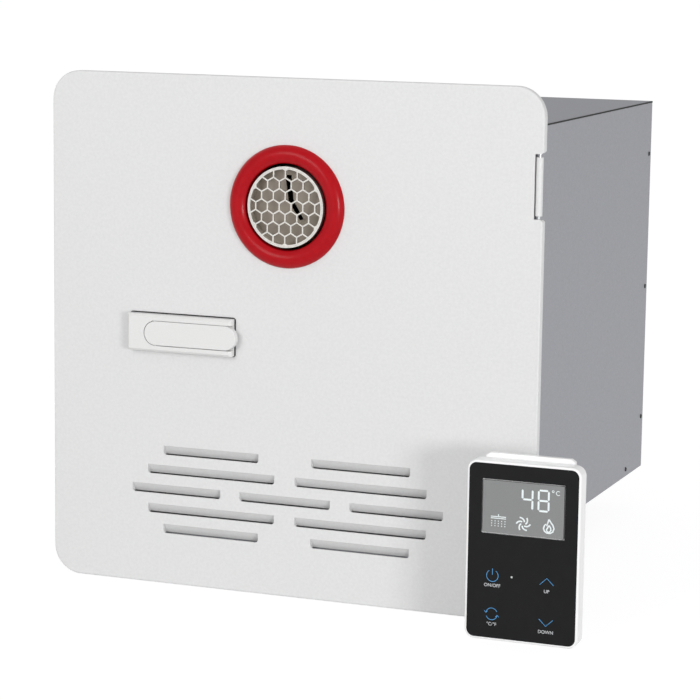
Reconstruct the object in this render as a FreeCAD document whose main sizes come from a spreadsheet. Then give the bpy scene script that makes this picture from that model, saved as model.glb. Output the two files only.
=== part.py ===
# Built-in tankless propane water heater for a vehicle wall, with its wall controller.
# Millimetres. +Z is up, the door faces -Y, and the wall's outer surface is the plane Y = 0.
# The origin is the middle of the mounting flange's back face.
import FreeCAD, Part
import math
import os
import Sketcher
from FreeCAD import Placement, Rotation, Vector

os.makedirs("parts", exist_ok=True)
doc = FreeCAD.newDocument("WaterHeater")

# Driving dimensions: name, value and what it is
SIZES = (
    ("door_side", 381, "side of the square door"),
    ("door_corner", 21.5, "corner radius of the door"),
    ("door_sheet", 1.2, "sheet of the door"),
    ("door_depth", 6, "depth of the door's returned edge"),
    ("door_edge_round", 1.2, "rounding of the door's front edge"),
    ("door_gap", 1, "running gap between door edge and flange"),
    ("flange_side", 368, "side of the mounting flange"),
    ("flange_corner", 18, "corner radius of the mounting flange"),
    ("flange_sheet", 1.5, "sheet of the mounting flange"),
    ("opening_width", 300, "service opening, across"),
    ("opening_height", 304, "service opening, up"),
    ("collar_depth", 12, "collar behind the flange"),
    ("flange_screw_pitch", 340, "corner screw holes, both ways"),
    ("flange_hole_radius", 2.3, "screw hole in the flange"),
    ("case_width", 312, "outer width of the case"),
    ("case_height", 313, "outer height of the case"),
    ("case_depth", 410.5, "depth of the case behind the wall surface"),
    ("case_sheet", 1.2, "sheet of the case"),
    ("case_lip", 14, "turned lips of the case panels"),
    ("case_bend", 1.8, "outer bend radius of the case panels"),
    ("case_fit", 0.1, "clearance between case panels"),
    ("rivet_radius", 2, "case rivet head radius"),
    ("rivet_head", 0.8, "case rivet head height"),
    ("rivet_pitch", 112.5, "rear rivets, up the side"),
    ("rivet_inset", 6, "rivets in from the case's edges"),
    ("tray_rivet_front", 110, "front rivet of the bottom tray, from the wall surface"),
    ("tray_rivet_back", 360, "back rivet of the bottom tray, from the wall surface"),
    ("seal_inner", 314, "inner side of the door seal"),
    ("seal_width", 8, "width of the door seal"),
    ("seal_gap", 0.3, "door seal short of the door skin"),
    ("ring_across", 98, "exhaust height above the door's middle"),
    ("ring_shift", 1.7, "exhaust left of the door's middle"),
    ("ring_radius", 44.6, "outer radius of the bezel ring"),
    ("ring_crest_radius", 37.6, "radius of the ring's raised lip"),
    ("ring_rise", 5.6, "ring's lip proud of the door"),
    ("ring_rim", 0.6, "ring's outer rim proud of the door"),
    ("ring_wall", 1.5, "wall of the ring's collar"),
    ("ring_collar", 6, "ring's collar behind the door's face"),
    ("ring_hole_gap", 0.2, "ring collar in the door's hole"),
    ("tube_radius", 29.4, "outer radius of the exhaust tube"),
    ("tube_wall", 1, "wall of the exhaust tube"),
    ("tube_swing_gap", 2.3, "exhaust tube to the ring, for the door's swing"),
    ("tube_proud", 3.4, "exhaust tube proud of the door's face"),
    ("tube_inside", 72, "exhaust tube behind the wall surface"),
    ("guard_pitch", 9.2, "honeycomb cell pitch"),
    ("guard_strut", 1, "honeycomb strut"),
    ("guard_sheet", 1.5, "honeycomb thickness"),
    ("guard_rim", 1, "rim of the honeycomb guard"),
    ("louvre_height", 7, "height of an intake slot"),
    ("louvre_pitch", 14.93, "row to row"),
    ("louvre_middle", 118.7, "middle row below the door's middle"),
    ("louvre_shift", 1.5, "slot pattern left of the door's middle"),
    ("louvre_short", 76.8, "slot length in the outer rows"),
    ("louvre_long", 102.4, "slot length in the second rows"),
    ("louvre_centre", 71.9, "slot length in the middle row"),
    ("louvre_half_gap", 59.3, "slot centres from the middle, in pairs"),
    ("louvre_third", 87.3, "slot centres apart in the middle row"),
    ("louvre_round", 2.4, "lower corner radius of a slot"),
    ("louvre_sheet", 0.9, "pressed hood behind a slot"),
    ("louvre_reach", 5, "depth of the pressed hood"),
    ("latch_shift", 83.8, "latch plate's middle, left of the door's middle"),
    ("latch_length", 83.6, "length of the latch plate"),
    ("latch_height", 27.5, "height of the latch plate"),
    ("latch_thick", 8, "latch plate proud of the door"),
    ("latch_bevel", 1.6, "bevel round the latch plate"),
    ("latch_floor", 3.1, "latch plate under the handle"),
    ("handle_length", 73.6, "handle, end to end"),
    ("handle_height", 18, "handle, across"),
    ("handle_thick", 4.5, "handle thickness"),
    ("handle_overhang", 4, "handle past the plate's open end"),
    ("handle_gap", 0.4, "gap round the handle"),
    ("handle_pivot_in", 8, "handle pivot from its left end"),
    ("handle_pivot_deep", 2.3, "handle pivot behind its face"),
    ("handle_pin_radius", 1.25, "handle pin"),
    ("running_fit", 0.05, "radial clearance of pins and shafts"),
    ("heel_length", 18, "heel arm of the handle, from the pivot"),
    ("heel_width", 8, "heel arm, up"),
    ("heel_thick", 3, "heel arm, across"),
    ("bolt_thick", 4, "latch bolt thickness"),
    ("bolt_height", 12, "latch bolt, up"),
    ("bolt_behind", 0.6, "latch bolt behind the wall surface plane"),
    ("bolt_end_gap", 0.3, "bolt nose to the strike edge"),
    ("bolt_tail", 11.5, "latch bolt past the handle's pivot"),
    ("latch_case_wall", 1.3, "wall of the latch's rear case"),
    ("hinge_axis_in", 3.6, "hinge axis in from the door's right edge"),
    ("hinge_axis_deep", 2.6, "hinge axis behind the door's face"),
    ("hinge_radius", 2.5, "hinge barrel radius"),
    ("hinge_pin_radius", 1, "hinge pin radius"),
    ("hinge_offset", 121.4, "hinges above and below the door's middle"),
    ("hinge_length", 41, "length of a hinge barrel"),
    ("hinge_notch", 45.6, "length of the door's hinge notch"),
    ("notch_gap", 0.4, "notch edge to the hinge barrel"),
    ("hinge_ear", 3, "thickness of a hinge ear"),
    ("hinge_leaf", 1.2, "sheet of the hinge leaves"),
    ("stack_width", 150, "burner and exchanger stack, across"),
    ("stack_depth", 240, "burner and exchanger stack, front to back"),
    ("stack_shift", 10, "stack's middle left of the door's middle"),
    ("stack_front", 60, "stack's front behind the wall surface"),
    ("stack_sheet", 1, "sheet of the stack's boxes"),
    ("burner_low", -70, "underside of the burner box"),
    ("chamber_low", -12, "underside of the combustion chamber"),
    ("exchanger_low", 28, "underside of the heat exchanger"),
    ("collector_low", 68, "underside of the flue collector"),
    ("collector_high", 132, "top of the flue collector"),
    ("coil_pitch", 38, "heat exchanger tubes, centre to centre"),
    ("pipe_radius", 8, "water pipe outer radius"),
    ("fan_radius", 33, "blower wheel outer radius"),
    ("fan_depth", 32, "blower wheel, front to back"),
    ("fan_casing_radius", 40, "blower casing outer radius"),
    ("fan_front", 118, "blower casing's front behind the wall surface"),
    ("fan_height", -113, "blower axis above the door's middle"),
    ("fan_shaft_radius", 3, "blower shaft radius"),
    ("fan_blades", 24, "blades of the blower wheel"),
    ("fitting_radius", 10.4, "half-inch pipe thread, outer radius"),
    ("fitting_reach", 22, "water fittings behind the case"),
    ("fitting_bore", 7, "bore of the water fittings"),
    ("locknut", 4, "locknuts behind the case"),
    ("gas_radius", 8, "gas fitting outer radius"),
    ("gas_reach", 22, "gas fitting behind the case"),
    ("gas_pipe_radius", 5, "gas pipe outer radius"),
    ("controller_width", 82, "wall controller, across"),
    ("controller_height", 126.8, "wall controller, up"),
    ("controller_depth", 18, "wall controller, front to back"),
    ("controller_corner", 7, "wall controller's corner radius"),
    ("controller_x", 197.7, "wall controller's middle, right of the door's middle"),
    ("controller_front", 51.5, "wall controller's front, before the door's face"),
    ("glass_inset", 1.6, "white border round the controller's glass"),
    ("glass_thick", 1.2, "controller glass"),
    ("display_width", 60, "controller display, across"),
    ("display_height", 38.5, "controller display, up"),
    ("display_drop", 11, "display below the glass's top"),
    ("lug_width", 64, "controller wall plate, across"),
    ("plate_hole_pitch", 50, "screw holes of the controller's wall plate"),
    ("lug_rise", 3, "controller wall plate above the body"),
)


class Size:
    """A number together with the spreadsheet formula that gives it."""

    def __init__(self, value, formula):
        self.value = float(value)
        self.formula = formula

    def __add__(self, other):
        other = as_size(other)
        return Size(self.value + other.value, "(" + self.formula + " + " + other.formula + ")")

    def __sub__(self, other):
        other = as_size(other)
        return Size(self.value - other.value, "(" + self.formula + " - " + other.formula + ")")

    def __mul__(self, other):
        other = as_size(other)
        return Size(self.value * other.value, "(" + self.formula + " * " + other.formula + ")")

    def __truediv__(self, other):
        other = as_size(other)
        return Size(self.value / other.value, "(" + self.formula + " / " + other.formula + ")")

    def __neg__(self):
        return Size(-self.value, "(0 - " + self.formula + ")")

    def __radd__(self, other):
        return as_size(other) + self

    def __rsub__(self, other):
        return as_size(other) - self

    def __rmul__(self, other):
        return as_size(other) * self


def as_size(number):
    """A plain number or a Size, as a Size."""
    if isinstance(number, Size):
        return number
    return Size(number, "(%.6f)" % number)


def root(size):
    """A square root that stays bound to the spreadsheet."""
    return Size(math.sqrt(size.value), "sqrt(" + size.formula + ")")


class SizeTable:
    """Every driving dimension by its name."""


sheet = doc.addObject("Spreadsheet::Sheet", "Sizes")
s = SizeTable()
for row, (name, value, note) in enumerate(SIZES, 1):
    sheet.set("A%d" % row, note)
    sheet.set("B%d" % row, str(value))
    sheet.setAlias("B%d" % row, name)
doc.recompute()
for name, value, note in SIZES:
    setattr(s, name, Size(sheet.get(name), "Sizes." + name))

# Helpers: outlines drawn in sketches, whose every vertex is bound to the spreadsheet
NODES = []


def polygon(*vertices, arcs=None):
    """A closed outline. arcs gives a radius and a centre to the edge that starts at that vertex."""
    return {"vertices": vertices, "arcs": arcs or {}}


def rectangle(x0, x1, y0, y1):
    return polygon((x0, y0), (x1, y0), (x1, y1), (x0, y1))


def rounded(x0, x1, y0, y1, radius):
    """A rectangle with four round corners."""
    return polygon(
        (x0 + radius, y0), (x1 - radius, y0),
        (x1, y0 + radius), (x1, y1 - radius),
        (x1 - radius, y1), (x0 + radius, y1),
        (x0, y1 - radius), (x0, y0 + radius),
        arcs={1: (radius, x1 - radius, y0 + radius), 3: (radius, x1 - radius, y1 - radius),
              5: (radius, x0 + radius, y1 - radius), 7: (radius, x0 + radius, y0 + radius)})


def circle(x, y, radius):
    return {"centre": (x, y), "radius": radius}


def hold_point(sketch, edge, end, x, y):
    """Tie one end of an edge to its place."""
    for kind, size in (("DistanceX", as_size(x)), ("DistanceY", as_size(y))):
        index = sketch.addConstraint(Sketcher.Constraint(kind, -1, 1, edge, end, size.value))
        sketch.setExpression("Constraints[%d]" % index, size.formula)


def hold_radius(sketch, edge, radius):
    radius = as_size(radius)
    index = sketch.addConstraint(Sketcher.Constraint("Radius", edge, radius.value))
    sketch.setExpression("Constraints[%d]" % index, radius.formula)


def hold_arc(sketch, edge, start, stop, arc):
    """An arc between held ends needs its radius; a half circle needs its centre instead."""
    radius, cx, cy = (as_size(n) for n in arc)
    if abs((stop - start).Length - radius.value * 2) > 0.001:
        hold_radius(sketch, edge, radius)
        return
    across = abs(stop.x - start.x) > abs(stop.y - start.y)
    kind, size = ("DistanceY", cy) if across else ("DistanceX", cx)
    index = sketch.addConstraint(Sketcher.Constraint(kind, -1, 1, edge, 3, size.value))
    sketch.setExpression("Constraints[%d]" % index, size.formula)


def draw(sketch, loop):
    """Draw one outline or circle into a sketch and tie it to the spreadsheet."""
    first = sketch.GeometryCount
    if "centre" in loop:
        x, y = (as_size(n) for n in loop["centre"])
        ring = Part.Circle(Vector(x.value, y.value, 0), Vector(0, 0, 1), as_size(loop["radius"]).value)
        sketch.addGeometry(ring, False)
        hold_point(sketch, first, 3, x, y)
        hold_radius(sketch, first, loop["radius"])
        return
    points = [(as_size(x), as_size(y)) for x, y in loop["vertices"]]
    flat = [Vector(x.value, y.value, 0) for x, y in points]
    count = len(flat)
    ends = []
    for i in range(count):
        a, b = flat[i], flat[(i + 1) % count]
        if i not in loop["arcs"]:
            sketch.addGeometry(Part.LineSegment(a, b), False)
            ends.append((1, 2))
            continue
        radius, cx, cy = (as_size(n).value for n in loop["arcs"][i])
        centre = Vector(cx, cy, 0)
        turn = (a - centre).cross(b - centre).z
        onwards = turn > -0.001
        start, stop = (a, b) if onwards else (b, a)
        low = math.atan2(start.y - cy, start.x - cx)
        high = math.atan2(stop.y - cy, stop.x - cx)
        if high < low:
            high += 2 * math.pi
        sketch.addGeometry(Part.ArcOfCircle(Part.Circle(centre, Vector(0, 0, 1), radius), low, high), False)
        ends.append((1, 2) if onwards else (2, 1))
    for i in range(count):
        after = (i + 1) % count
        sketch.addConstraint(
            Sketcher.Constraint("Coincident", first + i, ends[i][1], first + after, ends[after][0]))
    for i, (x, y) in enumerate(points):
        hold_point(sketch, first + i, ends[i][0], x, y)
    for i, arc in loop["arcs"].items():
        hold_arc(sketch, first + i, flat[i], flat[(i + 1) % count], arc)


def sketch_at(body, plane, offset, centre, loops):
    """A sketch on one of the body's own planes, moved along its normal and in its plane."""
    sketch = body.newObject("Sketcher::SketchObject", body.Name + "_outline")
    datum = next(f for f in body.Origin.OriginFeatures if f.Role == plane + "_Plane")
    sketch.AttachmentSupport = [(datum, "")]
    sketch.MapMode = "FlatFace"
    for letter, size in zip("xyz", (centre[0], centre[1], offset)):
        sketch.setExpression("AttachmentOffset.Base." + letter, as_size(size).formula)
    for loop in loops:
        draw(sketch, loop)
    return sketch


def new_body(label):
    """One sub-part, listed for export."""
    body = doc.addObject("PartDesign::Body", label)
    body.Label = label
    NODES.append(body)
    return body


def pad(body, plane, low, high, *loops, centre=(0, 0)):
    """Solid between two levels of the axis across the plane. XZ's normal points to -Y."""
    offset = -as_size(high) if plane == "XZ" else low
    feature_sketch = sketch_at(body, plane, offset, centre, loops)
    feature = body.newObject("PartDesign::Pad", body.Name + "_pad")
    feature.Profile = feature_sketch
    feature.setExpression("Length", (as_size(high) - low).formula)
    return feature


def pocket(body, plane, low, high, *loops, centre=(0, 0)):
    """Cut between two levels, and make sure that it removed something."""
    doc.recompute()
    before = body.Shape.Volume
    offset = -as_size(low) if plane == "XZ" else high
    feature_sketch = sketch_at(body, plane, offset, centre, loops)
    feature = body.newObject("PartDesign::Pocket", body.Name + "_cut")
    feature.Profile = feature_sketch
    feature.setExpression("Length", (as_size(high) - low).formula)
    doc.recompute()
    if body.Shape.Volume >= before:
        raise RuntimeError(body.Label + ": a pocket cut nothing")
    return feature


TURN_PLANES = {"X": ("XY", "H_Axis"), "Y": ("YZ", "H_Axis"), "Z": ("XZ", "V_Axis")}


def turned(body, axis, centre, loop):
    """Revolve a profile about a line along an axis. Profiles are (along, radius), or (radius, z) for Z."""
    plane, line = TURN_PLANES[axis]
    a, b = as_size(centre[0]), as_size(centre[1])
    offset, shift = {"X": (b, (0, a)), "Y": (a, (0, b)), "Z": (-b, (a, 0))}[axis]
    feature_sketch = sketch_at(body, plane, offset, shift, [loop])
    feature = body.newObject("PartDesign::Revolution", body.Name + "_turn")
    feature.Profile = feature_sketch
    feature.ReferenceAxis = (feature_sketch, [line])
    feature.Angle = 360
    return feature


def edges_where(body, test):
    """Names of the body's edges whose middle point and shape pass the test."""
    doc.recompute()
    names = []
    for number, edge in enumerate(body.Shape.Edges, 1):
        middle = edge.valueAt((edge.FirstParameter + edge.LastParameter) / 2)
        if test(edge, middle):
            names.append("Edge%d" % number)
    if not names:
        raise RuntimeError(body.Label + ": no edge passes the test")
    return names


def blend(body, kind, size, test):
    """Fillet or chamfer the edges that pass the test."""
    names = edges_where(body, test)
    base = body.Tip
    feature = body.newObject("PartDesign::" + kind, body.Name + "_" + kind.lower())
    feature.Base = (base, names)
    feature.setExpression("Radius" if kind == "Fillet" else "Size", as_size(size).formula)
    doc.recompute()
    return feature


def near(value, size):
    return abs(value - as_size(size).value) < 0.01


def place(feature, x, y, z):
    for letter, size in zip("xyz", (x, y, z)):
        feature.setExpression("Placement.Base." + letter, as_size(size).formula)


TURN_TO = {"+X": Rotation(Vector(0, 0, 1), Vector(1, 0, 0)), "-X": Rotation(Vector(0, 0, 1), Vector(-1, 0, 0)),
           "+Y": Rotation(Vector(0, 0, 1), Vector(0, 1, 0)), "-Y": Rotation(Vector(0, 0, 1), Vector(0, -1, 0)),
           "+Z": Rotation()}


def rod(name, direction, x, y, z, radius, length):
    """A Part::Cylinder from a point along a direction."""
    feature = doc.addObject("Part::Cylinder", name)
    feature.Placement = Placement(Vector(), TURN_TO[direction])
    feature.setExpression("Radius", as_size(radius).formula)
    feature.setExpression("Height", as_size(length).formula)
    place(feature, x, y, z)
    return feature


def stud(name, direction, x, y, z, radius, head_radius, head, shank):
    """A screw or rivet: a shank and a tapered head, whose seat is at the given point."""
    body = rod(name + "_shank", direction, x, y, z, radius, shank)
    top = doc.addObject("Part::Cone", name + "_head")
    back = {"+X": "-X", "-X": "+X", "+Y": "-Y", "-Y": "+Y"}[direction]
    top.Placement = Placement(Vector(), TURN_TO[back])
    top.setExpression("Radius1", as_size(head_radius).formula)
    top.setExpression("Radius2", (as_size(head_radius) * 0.7).formula)
    top.setExpression("Height", as_size(head).formula)
    place(top, x, y, z)
    whole = doc.addObject("Part::MultiFuse", name)
    whole.Shapes = [body, top]
    return whole


def group(label, members):
    """Identical fasteners as separate solids of one sub-part."""
    feature = doc.addObject("Part::Compound", label)
    feature.Label = label
    feature.Links = members
    NODES.append(feature)
    return feature


def path_with_bends(points, bend):
    """Straight runs joined by tangent arcs."""
    edges = []
    start = points[0]
    for i in range(1, len(points) - 1):
        corner = points[i]
        back = (points[i - 1] - corner).normalize()
        ahead = (points[i + 1] - corner).normalize()
        half = back.getAngle(ahead) / 2
        reach = bend / math.tan(half)
        a = corner + back * reach
        b = corner + ahead * reach
        bisector = (back + ahead).normalize()
        middle = corner + bisector * (bend / math.sin(half) - bend)
        if (a - start).Length > 1e-6:
            edges.append(Part.LineSegment(start, a).toShape())
        edges.append(Part.Arc(a, middle, b).toShape())
        start = b
    if (points[-1] - start).Length > 1e-6:
        edges.append(Part.LineSegment(start, points[-1]).toShape())
    return Part.Wire(edges)


def pipe_run(label, points, radius, bend):
    """A bent pipe through points given as sizes."""
    corners = [Vector(*(as_size(n).value for n in point)) for point in points]
    route = path_with_bends(corners, as_size(bend).value)
    heading = (corners[1] - corners[0]).normalize()
    section = Part.Wire(Part.makeCircle(as_size(radius).value, corners[0], heading))
    feature = doc.addObject("Part::Feature", label)
    feature.Label = label
    feature.Shape = route.makePipeShell([section], True, True)
    print(label, "length %.1f mm" % route.Length, "volume share %.4f" % (
        feature.Shape.Volume / (math.pi * as_size(radius).value ** 2 * route.Length)))
    return feature


def pipe(label, points, radius, bend):
    """A bent pipe that is a sub-part of its own."""
    NODES.append(pipe_run(label, points, radius, bend))


# Planes and centres that several pieces share
door_face = -(s.flange_sheet + s.door_gap + s.door_depth)
door_back = door_face + s.door_depth
skin_back = door_face + s.door_sheet
flange_face = -s.flange_sheet
door_half = s.door_side / 2
case_side = s.case_width / 2
case_top = s.case_height / 2
case_in_x = case_side - s.case_sheet
case_in_z = case_top - s.case_sheet
exhaust_x = -s.ring_shift
exhaust_z = s.ring_across
hinge_x = door_half - s.hinge_axis_in
hinge_y = door_face + s.hinge_axis_deep
pattern_x = -s.louvre_shift

# Mounting frame: flange with a service opening and a collar that goes into the wall's cut-out
frame = new_body("mounting_frame")
flange_half = s.flange_side / 2
pad(frame, "XZ", flange_face, 0,
    rounded(-flange_half, flange_half, -flange_half, flange_half, s.flange_corner))
collar_x = case_in_x - s.case_sheet - s.case_fit
collar_z = case_in_z - s.case_sheet - s.case_fit
pad(frame, "XZ", 0, s.collar_depth, rectangle(-collar_x, collar_x, -collar_z, collar_z))
pocket(frame, "XZ", 0, s.collar_depth,
       rectangle(-collar_x + s.case_sheet, collar_x - s.case_sheet,
                 -collar_z + s.case_sheet, collar_z - s.case_sheet))
screw_half = s.flange_screw_pitch / 2
screw_places = [(i * screw_half, j * screw_half) for i in (-1, 0, 1) for j in (-1, 0, 1) if i or j]
pocket(frame, "XZ", flange_face, 0,
       rectangle(-s.opening_width / 2, s.opening_width / 2, -s.opening_height / 2, s.opening_height / 2),
       *[circle(x, z, s.flange_hole_radius) for x, z in screw_places])

# Case: two sides, a top and a bottom with lips inside the sides, and a rear panel
side_rivets = [(s.case_depth - s.rivet_inset, i * s.rivet_pitch) for i in (-1, 0, 1)]
tray_rivet_z = -case_top + s.rivet_inset
side_rivets += [(s.tray_rivet_front, tray_rivet_z), (s.tray_rivet_back, tray_rivet_z)]
rivet_shank = s.rivet_radius * 0.6
for label, low in (("left_side_panel", -case_side), ("right_side_panel", case_in_x)):
    side = new_body(label)
    pad(side, "YZ", low, low + s.case_sheet, rectangle(0, s.case_depth, -case_top, case_top))
    pocket(side, "YZ", low, low + s.case_sheet, *[circle(y, z, rivet_shank) for y, z in side_rivets])

lip_x = case_in_x - s.case_fit
panel_back = s.case_depth - s.case_sheet - s.case_fit
for label, up in (("top_panel", 1), ("bottom_tray", -1)):
    folded = new_body(label)
    outer = case_top * up
    inner = case_in_z * up
    tip = (case_top - s.case_lip) * up
    bend_z = (case_top - s.case_bend) * up
    pad(folded, "XZ", 0, panel_back, polygon(
        (-lip_x + s.case_bend, outer), (lip_x - s.case_bend, outer), (lip_x, bend_z), (lip_x, tip),
        (lip_x - s.case_sheet, tip), (lip_x - s.case_sheet, inner),
        (-lip_x + s.case_sheet, inner), (-lip_x + s.case_sheet, tip), (-lip_x, tip), (-lip_x, bend_z),
        arcs={1: (s.case_bend, lip_x - s.case_bend, bend_z), 9: (s.case_bend, -lip_x + s.case_bend, bend_z)}))
    if up < 0:
        for low, high in ((-lip_x, -lip_x + s.case_sheet), (lip_x - s.case_sheet, lip_x)):
            pocket(folded, "YZ", low, high, circle(s.tray_rivet_front, tray_rivet_z, rivet_shank),
                   circle(s.tray_rivet_back, tray_rivet_z, rivet_shank))

water_x = s.stack_width / 2 + s.stack_width / 4
cold_z = as_size(-118)
hot_z = as_size(-72)
gas_x = -(s.case_width / 2) + 36
gas_z = as_size(-118)
rear = new_body("rear_panel")
rear_in = s.case_depth - s.case_sheet
lip_z = case_top - s.case_lip - s.case_fit * 5
pad(rear, "XZ", rear_in, s.case_depth, rectangle(-lip_x, lip_x, -case_top, case_top))
for low, high in ((-lip_x, -lip_x + s.case_sheet), (lip_x - s.case_sheet, lip_x)):
    pad(rear, "YZ", low, high, rectangle(s.case_depth - s.case_lip, rear_in, -lip_z, lip_z))
    pocket(rear, "YZ", low, high, *[circle(y, z, rivet_shank) for y, z in side_rivets[:3]])
pocket(rear, "XZ", rear_in, s.case_depth,
       circle(water_x, cold_z, s.fitting_radius + 0.3), circle(water_x, hot_z, s.fitting_radius + 0.3),
       circle(gas_x, gas_z, s.gas_radius + 0.3))

rivets = []
for sign, way, word in ((-1, "+X", "left"), (1, "-X", "right")):
    for number, (y, z) in enumerate(side_rivets, 1):
        rivets.append(stud("rivet_%s_%d" % (word, number), way, case_side * sign, y, z,
                           rivet_shank, s.rivet_radius, s.rivet_head, s.case_sheet * 2))
group("case_rivets", rivets)

# Door: a pan with a returned edge, hinge notches, the exhaust hole and the pressed intake louvres
door = new_body("door_panel")
pad(door, "XZ", door_face, door_back, rounded(-door_half, door_half, -door_half, door_half, s.door_corner))
blend(door, "Fillet", s.door_edge_round, lambda edge, middle: near(middle.y, door_face))
pan_half = door_half - s.door_sheet
pocket(door, "XZ", skin_back, door_back,
       rounded(-pan_half, pan_half, -pan_half, pan_half, s.door_corner - s.door_sheet))

LOUVRE_ROWS = (
    (2, ((-1, "short"), (1, "short"))),
    (1, ((-1, "long"), (1, "long"))),
    (0, ((-1, "centre"), (0, "centre"), (1, "centre"))),
    (-1, ((-1, "long"), (1, "long"))),
    (-2, ((-1, "short"), (1, "short"))),
)
LOUVRE_LENGTHS = {"short": s.louvre_short, "long": s.louvre_long, "centre": s.louvre_centre}


def louvre_slots():
    """Left, right, bottom and top of every intake slot."""
    slots = []
    for row, columns in LOUVRE_ROWS:
        middle_z = s.louvre_pitch * row - s.louvre_middle
        for column, kind in columns:
            step = s.louvre_third if kind == "centre" else s.louvre_half_gap
            middle_x = pattern_x + step * column
            half = LOUVRE_LENGTHS[kind] / 2
            slots.append((middle_x - half, middle_x + half,
                          middle_z - s.louvre_height / 2, middle_z + s.louvre_height / 2))
    return slots


def slot_outline(x0, x1, z0, z1):
    """Square above and rounded below."""
    r = s.louvre_round
    return polygon((x0 + r, z0), (x1 - r, z0), (x1, z0 + r), (x1, z1), (x0, z1), (x0, z0 + r),
                   arcs={1: (r, x1 - r, z0 + r), 5: (r, x0 + r, z0 + r)})


hood_back = skin_back + s.louvre_reach
slots = louvre_slots()
for x0, x1, z0, z1 in slots:
    wall = s.louvre_sheet
    pad(door, "YZ", x0 - wall, x1 + wall,
        polygon((skin_back, z0), (hood_back, z0), (hood_back, z0 + wall), (skin_back, z1 + wall)))
for x0, x1, z0, z1 in slots:
    pocket(door, "YZ", x0, x1,
           polygon((skin_back, z0), (hood_back - s.louvre_sheet, z0), (skin_back, z1)))
latch_x = -s.latch_shift
plate_left = latch_x - s.latch_length / 2
plate_right = latch_x + s.latch_length / 2
handle_right = plate_right + s.handle_overhang
handle_left = handle_right - s.handle_length
handle_half = s.handle_height / 2
channel_half = handle_half + s.handle_gap
pivot_x = handle_left + s.handle_pivot_in
well_left = handle_left - s.handle_gap
well_right = pivot_x + s.handle_pivot_in + s.heel_thick
pocket(door, "XZ", door_face, skin_back, *[slot_outline(*slot) for slot in slots],
       circle(exhaust_x, exhaust_z, s.tube_radius + s.tube_swing_gap + s.ring_wall + s.ring_hole_gap),
       rectangle(well_left - 1, well_right, -channel_half, channel_half))
notch_left = hinge_x - s.hinge_radius - s.notch_gap
for sign in (-1, 1):
    middle = s.hinge_offset * sign
    half = s.hinge_notch / 2
    slope = s.hinge_axis_in / 2
    pocket(door, "XZ", door_face, door_back, polygon(
        (notch_left, middle - half), (door_half - slope, middle - half), (door_half + 1, middle - half - slope - 1),
        (door_half + 1, middle + half + slope + 1), (door_half - slope, middle + half), (notch_left, middle + half)))

# Hinges: a barrel and leaf on the flange, a strap with two ears behind the door, and a pin
leaf = new_body("hinge_barrels")
strap = new_body("door_straps")
for sign in (-1, 1):
    middle = s.hinge_offset * sign
    low, high = middle - s.hinge_length / 2, middle + s.hinge_length / 2
    pad(leaf, "XY", low, high, circle(hinge_x, hinge_y, s.hinge_radius))
    leaf_face = flange_face - s.hinge_leaf
    pad(leaf, "XY", low, high, polygon(
        (hinge_x - 21, flange_face), (hinge_x - 21, leaf_face), (hinge_x - s.hinge_radius, leaf_face),
        (hinge_x - s.hinge_radius + 0.3, hinge_y + 0.5), (hinge_x + 1.2, hinge_y + 0.5),
        (hinge_x + 1.2, flange_face)))
    pocket(leaf, "XY", low, high, circle(hinge_x, hinge_y, s.hinge_pin_radius + s.running_fit))
    reach = s.hinge_notch / 2 + 0.6 + s.hinge_ear
    strap_right = notch_left - 1.2
    pad(strap, "XZ", skin_back, skin_back + s.hinge_leaf,
        rectangle(hinge_x - 18.5, strap_right, middle - reach, middle + reach))
    for ear_low in (middle - reach, middle + reach - s.hinge_ear):
        pad(strap, "XY", ear_low, ear_low + s.hinge_ear, rectangle(
            hinge_x - 10, hinge_x + 2.2, skin_back, hinge_y + s.hinge_radius))
        pocket(strap, "XY", ear_low, ear_low + s.hinge_ear,
               circle(hinge_x, hinge_y, s.hinge_pin_radius))
pins = []
for word, sign in (("upper", 1), ("lower", -1)):
    reach = s.hinge_notch / 2 + 0.6 + s.hinge_ear
    start = s.hinge_offset * sign - reach
    shaft = rod("hinge_pin_%s_shaft" % word, "+Z", hinge_x, hinge_y, start, s.hinge_pin_radius, reach * 2)
    cap = rod("hinge_pin_%s_cap" % word, "+Z", hinge_x, hinge_y, start + reach * 2,
              s.hinge_pin_radius * 1.2, s.hinge_pin_radius)
    whole = doc.addObject("Part::MultiFuse", "hinge_pin_" + word)
    whole.Shapes = [shaft, cap]
    pins.append(whole)
group("hinge_pins", pins)

# Door seal: a rounded rubber ring on the flange, just short of the door's skin
seal = new_body("door_seal")
seal_in = s.seal_inner / 2
seal_out = seal_in + s.seal_width
seal_face = skin_back + s.seal_gap
pad(seal, "XZ", seal_face, flange_face,
    rounded(-seal_out, seal_out, -seal_out, seal_out, s.seal_width * 1.5),
    rounded(-seal_in, seal_in, -seal_in, seal_in, s.seal_width / 2))
blend(seal, "Fillet", s.seal_width / 4, lambda edge, middle: near(middle.y, seal_face))

# Exhaust: bezel ring on the door, tube, honeycomb guard and a deflector behind it
ring = new_body("exhaust_ring")
collar_in = s.tube_radius + s.tube_swing_gap
collar_out = collar_in + s.ring_wall
crest = door_face - s.ring_rise
dome_half = s.ring_radius - s.ring_crest_radius
dome_rise = s.ring_rise - s.ring_rim
dome_radius = (dome_half * dome_half + dome_rise * dome_rise) / (dome_rise * 2)
dome_y = crest + dome_radius
inner_half = s.ring_crest_radius - collar_in
lip_y = dome_y - root(dome_radius * dome_radius - inner_half * inner_half)
turned(ring, "Y", (exhaust_x, exhaust_z), polygon(
    (door_face, s.ring_radius), (door_face - s.ring_rim, s.ring_radius), (lip_y, collar_in),
    (door_face + s.ring_collar, collar_in), (door_face + s.ring_collar, collar_out),
    (door_face, collar_out), arcs={1: (dome_radius, dome_y, s.ring_crest_radius)}))
retainer = new_body("ring_retainer")
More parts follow.
